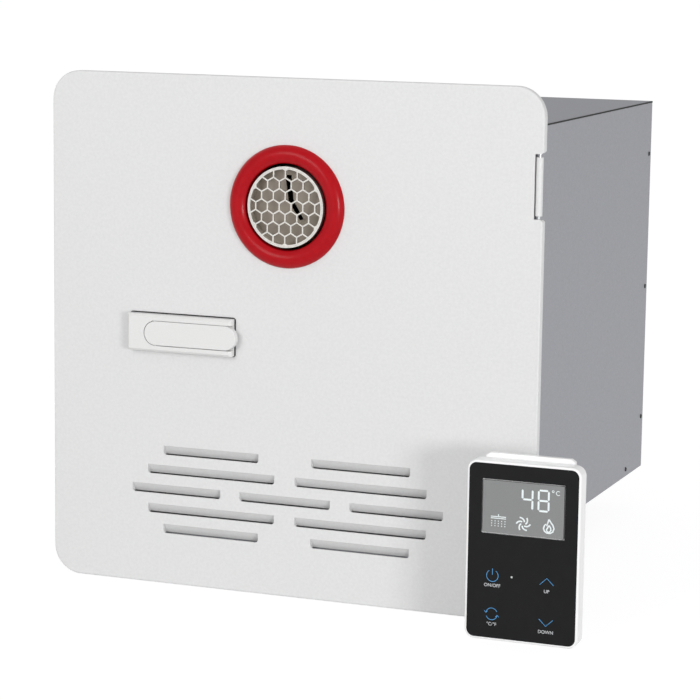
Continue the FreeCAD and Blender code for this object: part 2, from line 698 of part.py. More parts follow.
turned(retainer, "Y", (exhaust_x, exhaust_z), rectangle(
    skin_back, skin_back + s.hinge_leaf, collar_out + s.running_fit, collar_out + s.ring_wall * 3))

tube_mouth = door_face - s.tube_proud
tube = new_body("exhaust_tube")
tube_bore = s.tube_radius - s.tube_wall
turned(tube, "Y", (exhaust_x, exhaust_z), rectangle(tube_mouth, s.tube_inside, tube_bore, s.tube_radius))


def honeycomb():
    """Round guard with pointed-top cells, cut by its own rim."""
    radius = tube_bore.value - 0.05
    inner = radius - s.guard_rim.value
    side = (s.guard_pitch.value - s.guard_strut.value) / math.sqrt(3)
    row_step = s.guard_pitch.value * math.sqrt(3) / 2
    cells = []
    rows = int(radius / row_step) + 2
    for row in range(-rows, rows + 1):
        for column in range(-rows, rows + 1):
            x = (column + (row % 2) / 2) * s.guard_pitch.value
            z = row * row_step
            if math.hypot(x, z) > inner + side:
                continue
            corners = [Vector(x + side * math.cos(math.radians(60 * k + 30)), 0,
                              z + side * math.sin(math.radians(60 * k + 30))) for k in range(7)]
            cells.append(Part.Face(Part.makePolygon(corners)))
    field = Part.Face(Part.Wire(Part.makeCircle(inner, Vector(), Vector(0, 1, 0))))
    holes = [cell.common(field) for cell in cells]
    disc = Part.Face(Part.Wire(Part.makeCircle(radius, Vector(), Vector(0, 1, 0))))
    web = disc.cut([hole for hole in holes if hole.Area > 1])
    guard = web.extrude(Vector(0, s.guard_sheet.value, 0))
    guard.translate(Vector(exhaust_x.value, tube_mouth.value, exhaust_z.value))
    return guard.Solids[0]


guard = doc.addObject("Part::Feature", "exhaust_guard")
guard.Label = "exhaust_guard"
guard.Shape = honeycomb()
NODES.append(guard)

deflector = new_body("flue_deflector")
bore_fit = tube_bore - 0.1
deflector_front = tube_mouth + 9
turned(deflector, "Y", (exhaust_x, exhaust_z), rectangle(
    deflector_front, deflector_front + s.tube_wall, 0, bore_fit))
pocket(deflector, "XZ", deflector_front, deflector_front + s.tube_wall, polygon(
    (exhaust_x - 4, exhaust_z + bore_fit * 0.8), (exhaust_x + 1, exhaust_z + bore_fit * 0.8),
    (exhaust_x + 3, exhaust_z + 4), (exhaust_x + 11, exhaust_z - 9), (exhaust_x + 8, exhaust_z - 10),
    (exhaust_x - 1, exhaust_z + 3)))

# Stack: burner box, chamber, heat exchanger and flue collector, one on another
stack_left = -s.stack_shift - s.stack_width / 2
stack_right = -s.stack_shift + s.stack_width / 2
stack_back = s.stack_front + s.stack_depth
sheet_in = s.stack_sheet


def stack_box(label, low, high, floor=False, lid=False):
    """A rectangular sheet-metal box, open above and below unless it has a floor or a lid."""
    body = new_body(label)
    pad(body, "XY", low, high, rectangle(stack_left, stack_right, s.stack_front, stack_back))
    bottom = as_size(low) + sheet_in if floor else low
    top = as_size(high) - sheet_in if lid else high
    inner = rectangle(stack_left + sheet_in, stack_right - sheet_in,
                      s.stack_front + sheet_in, stack_back - sheet_in)
    if lid:
        pocket(body, "XY", low, high, inner)
        pad(body, "XY", top, high, rectangle(stack_left, stack_right, s.stack_front, stack_back))
    else:
        pocket(body, "XY", bottom, top, inner)
    return body


burner = stack_box("burner_box", s.burner_low, s.chamber_low, floor=True)
fan_x = -s.stack_shift
duct_left, duct_right = fan_x + 4, fan_x + s.fan_casing_radius
fan_in = s.fan_front + 1.5
fan_back = fan_in + s.fan_depth + 4
pocket(burner, "XY", s.burner_low, s.burner_low + sheet_in,
       rectangle(duct_left + 1.5, duct_right - 1.5, fan_in, fan_back))
bars = []
bar_count = 8
bar_step = (s.stack_width - 30) / (bar_count - 1)
for number in range(bar_count):
    bar = doc.addObject("Part::Box", "burner_bar_%d" % (number + 1))
    bar.setExpression("Length", "8")
    bar.setExpression("Width", (s.stack_depth - sheet_in * 2 - 0.4).formula)
    bar.setExpression("Height", "36")
    place(bar, stack_left + 11 + bar_step * number, s.stack_front + sheet_in + 0.2, s.chamber_low - 40)
    bars.append(bar)
group("burner_bars", bars)
chamber = stack_box("combustion_chamber", s.chamber_low, s.exchanger_low)
shell = stack_box("heat_exchanger_shell", s.exchanger_low, s.collector_low)
collector = stack_box("flue_collector", s.collector_low, s.collector_high, lid=True)
pocket(collector, "XZ", s.stack_front, s.stack_front + sheet_in,
       circle(exhaust_x, exhaust_z, s.tube_radius + s.running_fit))

coil_z = (s.exchanger_low + s.collector_low) / 2
coil_x = [stack_left + s.stack_width / 2 + s.coil_pitch * (i - 1.5) for i in range(4)]
coil_front = s.stack_front - 16
coil_back = stack_back + s.coil_pitch / 2 + 3
fins = new_body("heat_exchanger_fins")
pad(fins, "XY", s.exchanger_low + 2, s.collector_low - 2,
    rectangle(stack_left + sheet_in + 0.1, stack_right - sheet_in - 0.1,
              s.stack_front + sheet_in + 0.1, stack_back - sheet_in - 0.1))
bore = s.pipe_radius + s.running_fit
pocket(fins, "XZ", s.stack_front, stack_back, *[circle(x, coil_z, bore) for x in coil_x])
pocket(shell, "XZ", s.stack_front, stack_back, *[circle(x, coil_z, bore) for x in coil_x])
pipe("heat_exchanger_coil",
     [(coil_x[0], coil_front, coil_z), (coil_x[0], coil_back, coil_z), (coil_x[1], coil_back, coil_z),
      (coil_x[1], coil_front - s.coil_pitch / 2, coil_z), (coil_x[2], coil_front - s.coil_pitch / 2, coil_z),
      (coil_x[2], coil_back, coil_z), (coil_x[3], coil_back, coil_z), (coil_x[3], coil_front, coil_z)],
     s.pipe_radius, s.coil_pitch / 2 - 0.01)

# Supports that carry the stack on the bottom tray
floor_z = -case_in_z
support = new_body("stack_supports")
support_step = s.stack_depth - 50
for near_y in (s.stack_front + 8, s.stack_front + 8 + support_step):
    pad(support, "XZ", near_y, near_y + 18, polygon(
        (stack_left - 12, floor_z), (stack_left + 2, floor_z), (stack_left + 2, s.burner_low - 2),
        (stack_right - 2, s.burner_low - 2), (stack_right - 2, floor_z), (stack_right + 12, floor_z),
        (stack_right + 12, floor_z + 2), (stack_right, floor_z + 2), (stack_right, s.burner_low),
        (stack_left, s.burner_low), (stack_left, floor_z + 2), (stack_left - 12, floor_z + 2)))

# Blower: snail casing with an outlet duct up to the burner box, wheel, shaft and motor
casing = new_body("blower_casing")
casing_back = fan_back + 1.5
pad(casing, "XZ", s.fan_front, casing_back, circle(fan_x, s.fan_height, s.fan_casing_radius))
pad(casing, "XZ", s.fan_front, casing_back,
    rectangle(duct_left, duct_right, s.fan_height, s.burner_low))
pocket(casing, "XZ", fan_in, fan_back, circle(fan_x, s.fan_height, s.fan_casing_radius - 1.5))
pocket(casing, "XY", s.fan_height + 6, s.burner_low,
       rectangle(duct_left + 1.5, duct_right - 1.5, fan_in, fan_back))
pocket(casing, "XZ", s.fan_front, fan_in, circle(fan_x, s.fan_height, s.fan_radius * 0.72))
pocket(casing, "XZ", fan_back, casing_back, circle(fan_x, s.fan_height, s.fan_shaft_radius + 2))
wheel = new_body("blower_wheel")
wheel_front = fan_in + 2
wheel_back = wheel_front + s.fan_depth
pad(wheel, "XZ", wheel_back - 1.5, wheel_back, circle(fan_x, s.fan_height, s.fan_radius))
pad(wheel, "XZ", wheel_back - 14, wheel_back - 1.5, circle(fan_x, s.fan_height, s.fan_shaft_radius + 3))
blade = pad(wheel, "XZ", wheel_front, wheel_back - 1.5,
            polygon((s.fan_radius - 8, -0.5), (s.fan_radius - 1.2, 2.6), (s.fan_radius - 1.2, 3.7),
                    (s.fan_radius - 8, 0.6)), centre=(fan_x, s.fan_height))
blades = wheel.newObject("PartDesign::PolarPattern", "blower_blades")
blades.Originals = [blade]
blades.Axis = (blade.Profile[0], ["N_Axis"])
blades.Angle = 360
blades.setExpression("Occurrences", "Sizes.fan_blades")
wheel.Tip = blades
pad(wheel, "XZ", wheel_front, wheel_front + 2, circle(fan_x, s.fan_height, s.fan_radius),
    circle(fan_x, s.fan_height, s.fan_radius - 3))
pocket(wheel, "XZ", wheel_back - 14, wheel_back, circle(fan_x, s.fan_height, s.fan_shaft_radius))
shaft_end = casing_back + 12
shaft = rod("blower_shaft", "+Y", fan_x, wheel_back - 16, s.fan_height, s.fan_shaft_radius,
            shaft_end - wheel_back + 16)
shaft.Label = "blower_shaft"
NODES.append(shaft)
motor = new_body("blower_motor")
turned(motor, "Y", (fan_x, s.fan_height), polygon(
    (casing_back, s.fan_shaft_radius + s.running_fit), (casing_back, 22), (casing_back + 30, 22),
    (casing_back + 34, 18), (casing_back + 34, 0), (shaft_end + 0.3, 0),
    (shaft_end + 0.3, s.fan_shaft_radius + s.running_fit)))

# Gas side: fitting, pipe, valve with two coils, and a manifold in front of the burner box
gas_fitting = new_body("gas_inlet_fitting")
turned(gas_fitting, "Y", (gas_x, gas_z), polygon(
    (rear_in - 8, 2.5), (rear_in - 8, s.gas_radius + 3), (rear_in, s.gas_radius + 3), (rear_in, s.gas_radius),
    (s.case_depth, s.gas_radius), (s.case_depth, s.gas_radius + 3),
    (s.case_depth + s.locknut, s.gas_radius + 3), (s.case_depth + s.locknut, s.gas_radius),
    (s.case_depth + s.gas_reach - 2, s.gas_radius), (s.case_depth + s.gas_reach, s.gas_radius - 2.5),
    (s.case_depth + s.gas_reach, 2.5)))
valve_front, valve_back = as_size(62), as_size(108)
valve_low, valve_high = gas_z - 18, gas_z + 18
valve = new_body("gas_valve")
pad(valve, "XZ", valve_front, valve_back, rounded(gas_x - 16, gas_x + 16, valve_low, valve_high, as_size(3)))
turned(valve, "Y", (gas_x, gas_z), rectangle(valve_back - 1, valve_back + 10, 0, s.gas_pipe_radius + 4))
pad(valve, "XY", valve_high - 1, valve_high + 8, circle(gas_x, valve_front + 14, s.gas_pipe_radius + 4))
coils = []
for number, y in enumerate((valve_front + 12, valve_back - 12), 1):
    coil = rod("valve_coil_%d" % number, "-X", gas_x - 16, y, gas_z, 9, 14)
    coils.append(coil)
group("gas_valve_coils", coils)
pipe("gas_inlet_pipe", [(gas_x, valve_back + 10, gas_z), (gas_x, rear_in - 8, gas_z)],
     s.gas_pipe_radius, s.gas_pipe_radius * 3)
manifold_z = s.burner_low + 20
manifold_front = s.stack_front - 12
manifold = new_body("gas_manifold")
pad(manifold, "YZ", stack_left + 6, stack_right - 6, rounded(
    manifold_front, s.stack_front, manifold_z - 7, manifold_z + 7, as_size(2)))
pipe("gas_feed_pipe",
     [(gas_x, valve_front + 14, valve_high + 8), (gas_x, valve_front + 14, manifold_z),
      (gas_x, manifold_front + 6, manifold_z), (stack_left + 6, manifold_front + 6, manifold_z)],
     s.gas_pipe_radius, s.gas_pipe_radius * 1.2)

# Water side: fittings, cold pipe with its flow sensor, hot pipe, and the relief valve
nipple = new_body("water_fittings")
for z in (cold_z, hot_z):
    turned(nipple, "Y", (water_x, z), polygon(
        (rear_in - 12, s.fitting_bore), (rear_in - 12, s.fitting_radius + 4), (rear_in, s.fitting_radius + 4),
        (rear_in, s.fitting_radius), (s.case_depth, s.fitting_radius), (s.case_depth, s.fitting_radius + 4),
        (s.case_depth + s.locknut, s.fitting_radius + 4), (s.case_depth + s.locknut, s.fitting_radius),
        (s.case_depth + s.fitting_reach - 1.5, s.fitting_radius),
        (s.case_depth + s.fitting_reach, s.fitting_radius - 1.5),
        (s.case_depth + s.fitting_reach, s.fitting_bore)))
sensor_front, sensor_back = as_size(150), as_size(214)
sensor = new_body("flow_sensor")
turned(sensor, "Y", (water_x, cold_z), polygon(
    (sensor_front, 0), (sensor_front, 13), (sensor_front + 10, 13), (sensor_front + 10, 17),
    (sensor_back - 10, 17), (sensor_back - 10, 13), (sensor_back, 13), (sensor_back, 0)))
pad(sensor, "XY", cold_z + 14, cold_z + 24, rectangle(
    water_x - 9, water_x + 9, sensor_front + 20, sensor_front + 44))
relief_front = as_size(70)
relief_back = as_size(104)
block = new_body("relief_valve")
pad(block, "XZ", relief_front, relief_back, rounded(
    water_x - 15, water_x + 15, cold_z - 15, cold_z + 15, as_size(3)))
turned(block, "Y", (water_x, cold_z), rectangle(relief_back - 1, relief_back + 8, 0, s.pipe_radius + 4))
pad(block, "XZ", relief_front - 16, relief_front, circle(water_x, cold_z, 10))
lever_y = relief_front - 10
ear_x = as_size(5)
pad(block, "YZ", water_x - ear_x, water_x + ear_x, rectangle(
    lever_y - 5, lever_y + 5, cold_z + 6, cold_z + 20))
pocket(block, "YZ", water_x - 2.6, water_x + 2.6, rectangle(lever_y - 6, lever_y + 6, cold_z + 11, cold_z + 21))
pocket(block, "YZ", water_x - ear_x, water_x + ear_x, circle(lever_y, cold_z + 16, 1.5))
lever = new_body("relief_lever")
pad(lever, "YZ", water_x - 2.3, water_x + 2.3, rounded(
    lever_y - 3.5, lever_y + 3.5, cold_z + 12, cold_z + 40, as_size(2)))
pocket(lever, "YZ", water_x - 2.3, water_x + 2.3, circle(lever_y, cold_z + 16, 1.5 + s.running_fit))
pad(lever, "YZ", water_x - 7, water_x + 7, rounded(
    lever_y - 3.5, lever_y + 3.5, cold_z + 32, cold_z + 41, as_size(3)))
lever_pin = rod("relief_pin", "+X", water_x - ear_x, lever_y, cold_z + 16, 1.5, ear_x * 2)
group("cold_supply_pipe", [
    pipe_run("cold_pipe_rear", [(water_x, rear_in - 12, cold_z), (water_x, sensor_back, cold_z)],
             s.pipe_radius, s.pipe_radius),
    pipe_run("cold_pipe_front", [(water_x, sensor_front, cold_z), (water_x, relief_back + 8, cold_z)],
             s.pipe_radius, s.pipe_radius)])
riser_y = (relief_front + relief_back) / 2
front_run = coil_front - 14
pipe("cold_feed_pipe",
     [(water_x, riser_y, cold_z + 15), (water_x, riser_y, coil_z - 22), (water_x, front_run, coil_z - 22),
      (coil_x[0], front_run, coil_z - 22), (coil_x[0], front_run, coil_z), (coil_x[0], coil_front, coil_z)],
     s.pipe_radius, s.pipe_radius * 1.3)
hot_x = water_x + 8
pipe("hot_water_pipe",
     [(coil_x[3], coil_front, coil_z), (coil_x[3], coil_front - 13, coil_z), (water_x - 18, coil_front - 13, coil_z),
      (water_x - 18, stack_back + 20, coil_z), (water_x - 18, stack_back + 20, hot_z),
      (water_x, stack_back + 50, hot_z), (water_x, rear_in - 12, hot_z)],
     s.pipe_radius, s.pipe_radius * 1.55)

# Control box on the left with a power rocker, igniter and spark module
box_left, box_right = -case_in_x + 2, as_size(-96)
box_front, box_back = as_size(26), as_size(150)
box_low, box_high = as_size(-38), as_size(72)
control = new_body("control_box")
pad(control, "XZ", box_front, box_back, rounded(box_left, box_right, box_low, box_high, as_size(3)))
pocket(control, "XZ", box_front, box_back - 2, rounded(
    box_left + 2, box_right - 2, box_low + 2, box_high - 2, as_size(1.5)))
bracket_low, bracket_high = box_low + 20, box_low + 44
pad(control, "YZ", -case_in_x, box_left, rectangle(box_front + 30, box_back - 20, bracket_low, bracket_high))
cover = new_body("control_box_cover")
pad(cover, "XZ", box_front - 2, box_front, rounded(box_left, box_right, box_low, box_high, as_size(3)))
rocker_x = (box_left + box_right) / 2
rocker_z = box_high - 26
pad(cover, "XZ", box_front, box_front + 14, rectangle(
    rocker_x - 8, rocker_x + 8, rocker_z - 13.5, rocker_z + 13.5))
pocket(cover, "XZ", box_front - 2, box_front + 12, rectangle(
    rocker_x - 6.5, rocker_x + 6.5, rocker_z - 12, rocker_z + 12))
pocket(cover, "YZ", rocker_x - 8, rocker_x + 8, circle(box_front + 3, rocker_z, 1.2))
for number in range(4):
    vent_z = box_low + 18 + number * 9
    pocket(cover, "XZ", box_front - 2, box_front, rectangle(box_left + 12, box_right - 12, vent_z, vent_z + 3))
rocker = new_body("power_rocker")
pad(rocker, "YZ", rocker_x - 6.2, rocker_x + 6.2, polygon(
    (box_front - 3.6, rocker_z - 10.4), (box_front + 3, rocker_z - 10.4), (box_front + 7, rocker_z),
    (box_front + 3, rocker_z + 10.4), (box_front - 0.6, rocker_z + 10.4), (box_front - 1.6, rocker_z)))
pocket(rocker, "YZ", rocker_x - 6.2, rocker_x + 6.2, circle(box_front + 3, rocker_z, 1.2 + s.running_fit))
rocker_pin = rod("rocker_pin", "+X", rocker_x - 8, box_front + 3, rocker_z, 1.2, 16)
group("lever_and_rocker_pins", [lever_pin, rocker_pin])
board = new_body("circuit_board")
pad(board, "YZ", box_left + 2, box_left + 3.6, rectangle(
    box_front + 16, box_back - 8, box_low + 4, box_high - 4))

igniter = new_body("igniter")
igniter_z = (s.chamber_low + s.exchanger_low) / 2
for x in (-38, -22, 24):
    turned(igniter, "Y", (x, igniter_z), polygon(
        (s.stack_front - 22, 0), (s.stack_front - 22, 1.2), (s.stack_front - 14, 1.2), (s.stack_front - 14, 4),
        (s.stack_front, 4), (s.stack_front, 0)))
pad(igniter, "XZ", s.stack_front - 2, s.stack_front, rounded(
    as_size(-48), as_size(34), igniter_z - 9, igniter_z + 9, as_size(3)))

# Latch: plate, handle on a pin, bolt with its spring in a rear case
plate = new_body("latch_plate")
plate_face = door_face - s.latch_thick
plate_half = s.latch_height / 2
pad(plate, "XZ", plate_face, door_face, rectangle(plate_left, plate_right, -plate_half, plate_half))
blend(plate, "Chamfer", s.latch_bevel, lambda edge, middle: near(middle.y, plate_face))
channel_floor = door_face - s.latch_floor


def channel(right):
    """Round on the left and square on the right."""
    return polygon((well_left + channel_half, -channel_half), (right, -channel_half), (right, channel_half),
                   (well_left + channel_half, channel_half),
                   arcs={3: (channel_half, well_left + channel_half, 0)})


pocket(plate, "XZ", plate_face, channel_floor, channel(plate_right + 1))
pocket(plate, "XZ", channel_floor, door_face, channel(well_right))
pivot_y = plate_face + s.handle_pivot_deep
pocket(plate, "XY", -plate_half + 2, plate_half - 2, circle(pivot_x, pivot_y, s.handle_pin_radius))

handle = new_body("latch_handle")
handle_back = plate_face + s.handle_thick
pad(handle, "XZ", plate_face, handle_back, polygon(
    (handle_left + handle_half, -handle_half), (handle_right - handle_half, -handle_half),
    (handle_right - handle_half, handle_half), (handle_left + handle_half, handle_half),
    arcs={1: (handle_half, handle_right - handle_half, 0), 3: (handle_half, handle_left + handle_half, 0)}))
blend(handle, "Fillet", as_size(0.5), lambda edge, middle: near(middle.y, plate_face))
heel_left = pivot_x - s.heel_thick / 2
pad(handle, "XZ", handle_back, pivot_y + s.heel_length, rectangle(
    heel_left, heel_left + s.heel_thick, -s.heel_width / 2, s.heel_width / 2))
pocket(handle, "XY", -handle_half, handle_half,
       circle(pivot_x, pivot_y, s.handle_pin_radius + s.running_fit))
latch_pin = rod("latch_pin", "+Z", pivot_x, pivot_y, -plate_half + 2, s.handle_pin_radius, s.latch_height - 4)
latch_pin.Label = "latch_pin"
NODES.append(latch_pin)

bolt = new_body("latch_bolt")
bolt_front = s.bolt_behind
bolt_back = bolt_front + s.bolt_thick
bolt_half = s.bolt_height / 2
nose_x = -s.opening_width / 2 + s.bolt_end_gap
tail_x = pivot_x + s.bolt_tail
pad(bolt, "XY", -bolt_half, bolt_half, polygon(
    (nose_x, bolt_front), (tail_x, bolt_front), (tail_x, bolt_back), (nose_x + s.bolt_thick, bolt_back)))
pocket(bolt, "XZ", bolt_front, bolt_back, rectangle(
    heel_left - 1.1, heel_left + s.heel_thick + 0.6, -s.heel_width / 2 - 0.4, s.heel_width / 2 + 0.4))

wall = s.latch_case_wall
case_left = pivot_x - 10
case_right = plate_right - 22
spring_seat = case_right - wall
latch_box_back = bolt_back + 0.3 + wall
rear_case = new_body("latch_case")
pad(rear_case, "XZ", skin_back, skin_back + wall, rectangle(
    plate_left + 1, plate_right - 6, -plate_half + 0.5, plate_half - 0.5))
box_half = bolt_half + 0.15
pad(rear_case, "XZ", skin_back + wall, latch_box_back, rectangle(
    case_left, case_right, -box_half - wall, box_half + wall))
pocket(rear_case, "XZ", skin_back, latch_box_back - wall, rectangle(
    case_left + wall, spring_seat, -box_half, box_half))
pocket(rear_case, "XZ", bolt_front - 0.15, bolt_back + 0.15, rectangle(
    case_left, case_left + wall, -box_half, box_half))

spring = new_body("latch_spring")
turned(spring, "X", (bolt_front + s.bolt_thick / 2, 0), rectangle(
    tail_x, spring_seat, s.bolt_thick / 2 - 0.8, s.bolt_thick / 2))

latch_screws = []
screw_seat = skin_back + wall
for number, (x, z) in enumerate(((plate_left + 6.5, 0), (plate_right - 12, plate_half - 3.4),
                                 (plate_right - 12, -plate_half + 3.4)), 1):
    latch_screws.append(stud("latch_screw_%d" % number, "-Y", x, screw_seat, z, 1.2, 2.4, 1.4, s.latch_thick))
    for body, low, high in ((plate, screw_seat - s.latch_thick, door_face), (door, door_face, skin_back),
                            (rear_case, skin_back, screw_seat)):
        pocket(body, "XZ", low, high, circle(x, z, 1.2))
group("latch_screws", latch_screws)

# Wall controller, standing before the door's lower right corner
panel_front = door_face - s.controller_front
panel_back_y = panel_front + s.controller_depth
panel_low = -door_half
panel_high = panel_low + s.controller_height
panel_left = s.controller_x - s.controller_width / 2
panel_right = s.controller_x + s.controller_width / 2
shell_back = panel_back_y - 4
control_shell = new_body("controller_case")
pad(control_shell, "XZ", panel_front, shell_back, rounded(
    panel_left, panel_right, panel_low, panel_high, s.controller_corner))
blend(control_shell, "Fillet", as_size(1.2), lambda edge, middle: near(middle.y, panel_front))
blend(control_shell, "Fillet", as_size(2.5), lambda edge, middle: near(middle.y, shell_back))
glass_left = panel_left + s.glass_inset
glass_right = panel_right - s.glass_inset
glass_low = panel_low + s.glass_inset
glass_high = panel_high - s.glass_inset
glass_corner = s.controller_corner - s.glass_inset
pocket(control_shell, "XZ", panel_front, panel_front + s.glass_thick, rounded(
    glass_left, glass_right, glass_low, glass_high, glass_corner))
display_left = s.controller_x - s.display_width / 2
display_right = display_left + s.display_width
display_high = glass_high - s.display_drop
display_low = display_high - s.display_height
display_back = panel_front + s.glass_thick + 1.5
pocket(control_shell, "XZ", panel_front + s.glass_thick, display_back, rectangle(
    display_left, display_right, display_low, display_high))
glass = new_body("controller_glass")
pad(glass, "XZ", panel_front, panel_front + s.glass_thick, rounded(
    glass_left + 0.1, glass_right - 0.1, glass_low + 0.1, glass_high - 0.1, glass_corner - 0.1))
pocket(glass, "XZ", panel_front, panel_front + s.glass_thick, rounded(
    display_left, display_right, display_low, display_high, as_size(0.8)))
display = new_body("controller_display")
pad(display, "XZ", panel_front + 0.1, display_back, rectangle(
    display_left + 0.9, display_right - 0.9, display_low + 0.9, display_high - 0.9))
wall_plate = new_body("controller_wall_plate")
lug_half = s.lug_width / 2
lug_top = panel_high + s.lug_rise
pad(wall_plate, "XZ", shell_back, panel_back_y, polygon(
    (s.controller_x - lug_half, panel_low + 12), (s.controller_x + lug_half, panel_low + 12),
    (s.controller_x + lug_half, lug_top - 2), (s.controller_x + lug_half - 3, lug_top),
    (s.controller_x - lug_half + 3, lug_top), (s.controller_x - lug_half, lug_top - 2)))
plate_hole_z = (panel_low + panel_high) / 2
pocket(wall_plate, "XZ", shell_back, panel_back_y,
       circle(s.controller_x - s.plate_hole_pitch / 2, plate_hole_z, 2),
       circle(s.controller_x + s.plate_hole_pitch / 2, plate_hole_z, 2))

# Check every object and sub-part, then write one file for each
doc.recompute()
for feature in doc.Objects:
    if "Invalid" in feature.State or "Error" in feature.State:
        raise RuntimeError(feature.Label + " failed: " + str(feature.State))
for node in NODES:
    shape = node.Shape
    if shape.isNull() or not shape.isValid() or not shape.Solids:
        raise RuntimeError(node.Label + " has no valid solid")
for node in NODES:
    node.Shape.exportStep("parts/" + node.Label + ".step")
    print(node.Label, len(node.Shape.Solids), "solid(s), %.0f mm3" % node.Shape.Volume)
print(len(NODES), "sub-parts")
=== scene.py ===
# %% [markdown]
# # A built-in water heater, dressed for its photograph
#
# A tankless propane heater fills a square hole in a vehicle's wall. From outside, one sees its white steel
# door, the red bezel round the exhaust, pressed intake louvres, a paddle latch, and, here, the grey steel
# case that the wall would hide. Its wall controller stands in front of the door.
#
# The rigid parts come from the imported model, at their real sizes. This script gives them their finishes,
# adds what is too fine or too soft in outline for the solids, such as the printing on the glass and the
# latch's coil spring, and sets up the camera and the light.

# %% Load the frame
import math

import bpy
from mathutils import Matrix, Vector


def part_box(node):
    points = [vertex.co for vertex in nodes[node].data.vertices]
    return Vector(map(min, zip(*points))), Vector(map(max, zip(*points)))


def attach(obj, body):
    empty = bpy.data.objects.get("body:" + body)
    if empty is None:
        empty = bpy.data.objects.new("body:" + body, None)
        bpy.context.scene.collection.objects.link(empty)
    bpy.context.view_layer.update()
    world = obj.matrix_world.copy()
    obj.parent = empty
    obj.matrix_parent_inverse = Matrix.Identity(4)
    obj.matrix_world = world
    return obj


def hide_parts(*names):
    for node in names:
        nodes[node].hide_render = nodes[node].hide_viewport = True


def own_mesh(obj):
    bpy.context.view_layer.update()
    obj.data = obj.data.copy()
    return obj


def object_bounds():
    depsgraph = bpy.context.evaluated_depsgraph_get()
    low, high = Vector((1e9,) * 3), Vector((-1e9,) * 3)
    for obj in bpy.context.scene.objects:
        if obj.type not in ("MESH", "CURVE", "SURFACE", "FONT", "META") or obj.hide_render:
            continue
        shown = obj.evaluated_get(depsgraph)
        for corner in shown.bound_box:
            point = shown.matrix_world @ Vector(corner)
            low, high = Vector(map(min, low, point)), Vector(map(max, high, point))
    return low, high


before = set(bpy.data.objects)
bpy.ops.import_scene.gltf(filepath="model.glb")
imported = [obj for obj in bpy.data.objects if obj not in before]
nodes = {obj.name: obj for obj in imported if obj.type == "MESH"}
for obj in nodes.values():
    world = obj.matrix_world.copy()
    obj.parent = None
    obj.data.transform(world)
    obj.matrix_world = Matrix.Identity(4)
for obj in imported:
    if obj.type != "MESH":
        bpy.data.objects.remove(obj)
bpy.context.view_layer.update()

MM = 0.001


def box_of(node):
    """Lowest and highest corner of a node, in metres."""
    low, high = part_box(node)
    return Vector(low), Vector(high)


# %% [markdown]
# ## The camera
#
# Lines that run into the picture meet at vanishing points, and the door, whose size is known, fixes how far
# away the camera stood. The fit gives a long lens about 1.9 m away, to the right of the heater, a little
# above it and turned 21 degrees to the left. The camera is turned in three steps, because each has a plain
# meaning: turn, tilt, and a small roll about the line of sight.

# %% Camera
CAMERA_PLACE = Vector((0.7223, -1.7437, 0.2970))
CAMERA_TURN = math.radians(21.22)
CAMERA_TILT = math.radians(9.15)
CAMERA_ROLL = math.radians(0.79)
CAMERA_LENS = 134.8

camera_data = bpy.data.cameras.new("photo_camera")
camera_data.sensor_width = 36.0
camera_data.lens = CAMERA_LENS
camera_data.clip_end = 80.0
camera = bpy.data.objects.new("photo_camera", camera_data)
bpy.context.scene.collection.objects.link(camera)
turn = Matrix.Rotation(CAMERA_TURN, 4, "Z")
tilt = Matrix.Rotation(math.radians(90) - CAMERA_TILT, 4, "X")
roll = Matrix.Rotation(CAMERA_ROLL, 4, "Z")
camera.matrix_world = Matrix.Translation(CAMERA_PLACE) @ turn @ tilt @ roll
bpy.context.scene.camera = camera
print("camera distance to the door's middle: %.2f m" % (CAMERA_PLACE - Vector((0, -0.0085, 0))).length)


# %% [markdown]
# ## Two helpers for materials
#
# Colours are written as the hex values that one reads off a screen. Blender wants linear light, so one
# function turns them. Another adds a node to a material with its settings and its links, so that each
# material reads as a short list.

# %% Colour and node helpers
def linear(hex_colour):
    """An sRGB hex value as linear red, green, blue and alpha."""
    channels = [int(hex_colour[i:i + 2], 16) / 255 for i in (1, 3, 5)]
    return tuple(c / 12.92 if c <= 0.04045 else ((c + 0.055) / 1.055) ** 2.4 for c in channels) + (1.0,)


def add_node(tree, kind, settings=None, links=None):
    """A node with its sockets or properties set, and its inputs linked from other nodes' outputs."""
    node = tree.nodes.new(kind)
    for name, value in (settings or {}).items():
        if name in node.inputs:
            node.inputs[name].default_value = value
        else:
            setattr(node, name, value)
    for name, source in (links or {}).items():
        tree.links.new(source, node.inputs[name])
    return node


def new_material(name, colour, roughness, metallic=0.0):
    """A material with one Principled shader, its node tree, and the shader."""
    material = bpy.data.materials.new(name)
    material.use_nodes = True
    tree = material.node_tree
    shader = tree.nodes["Principled BSDF"]
    shader.inputs["Base Color"].default_value = linear(colour)
    shader.inputs["Roughness"].default_value = roughness
    shader.inputs["Metallic"].default_value = metallic
    material.diffuse_color = linear(colour)
    return material, tree, shader


GRAIN_CONTRAST = (0.35, 0.65)
GRAIN_HEIGHT = 0.2 * MM


def grain(material_parts, size_mm, dark, light, bump=0.0, detail=2.0):
    """Noise of a real grain size between two colours, with an optional bump of the same grain."""
    material, tree, shader = material_parts
    place = add_node(tree, "ShaderNodeTexCoord")
    noise = add_node(tree, "ShaderNodeTexNoise", {"Scale": 1 / (size_mm * MM) / 2, "Detail": detail},
                     {"Vector": place.outputs["Object"]})
    ramp = add_node(tree, "ShaderNodeValToRGB", {}, {"Fac": noise.outputs["Fac"]})
    ramp.color_ramp.elements[0].position, ramp.color_ramp.elements[1].position = GRAIN_CONTRAST
    ramp.color_ramp.elements[0].color = linear(dark)
    ramp.color_ramp.elements[1].color = linear(light)
    tree.links.new(ramp.outputs["Color"], shader.inputs["Base Color"])
    if bump:
        relief = add_node(tree, "ShaderNodeBump", {"Strength": bump, "Distance": GRAIN_HEIGHT},
                          {"Height": noise.outputs["Fac"]})
        tree.links.new(relief.outputs["Normal"], shader.inputs["Normal"])
    return material


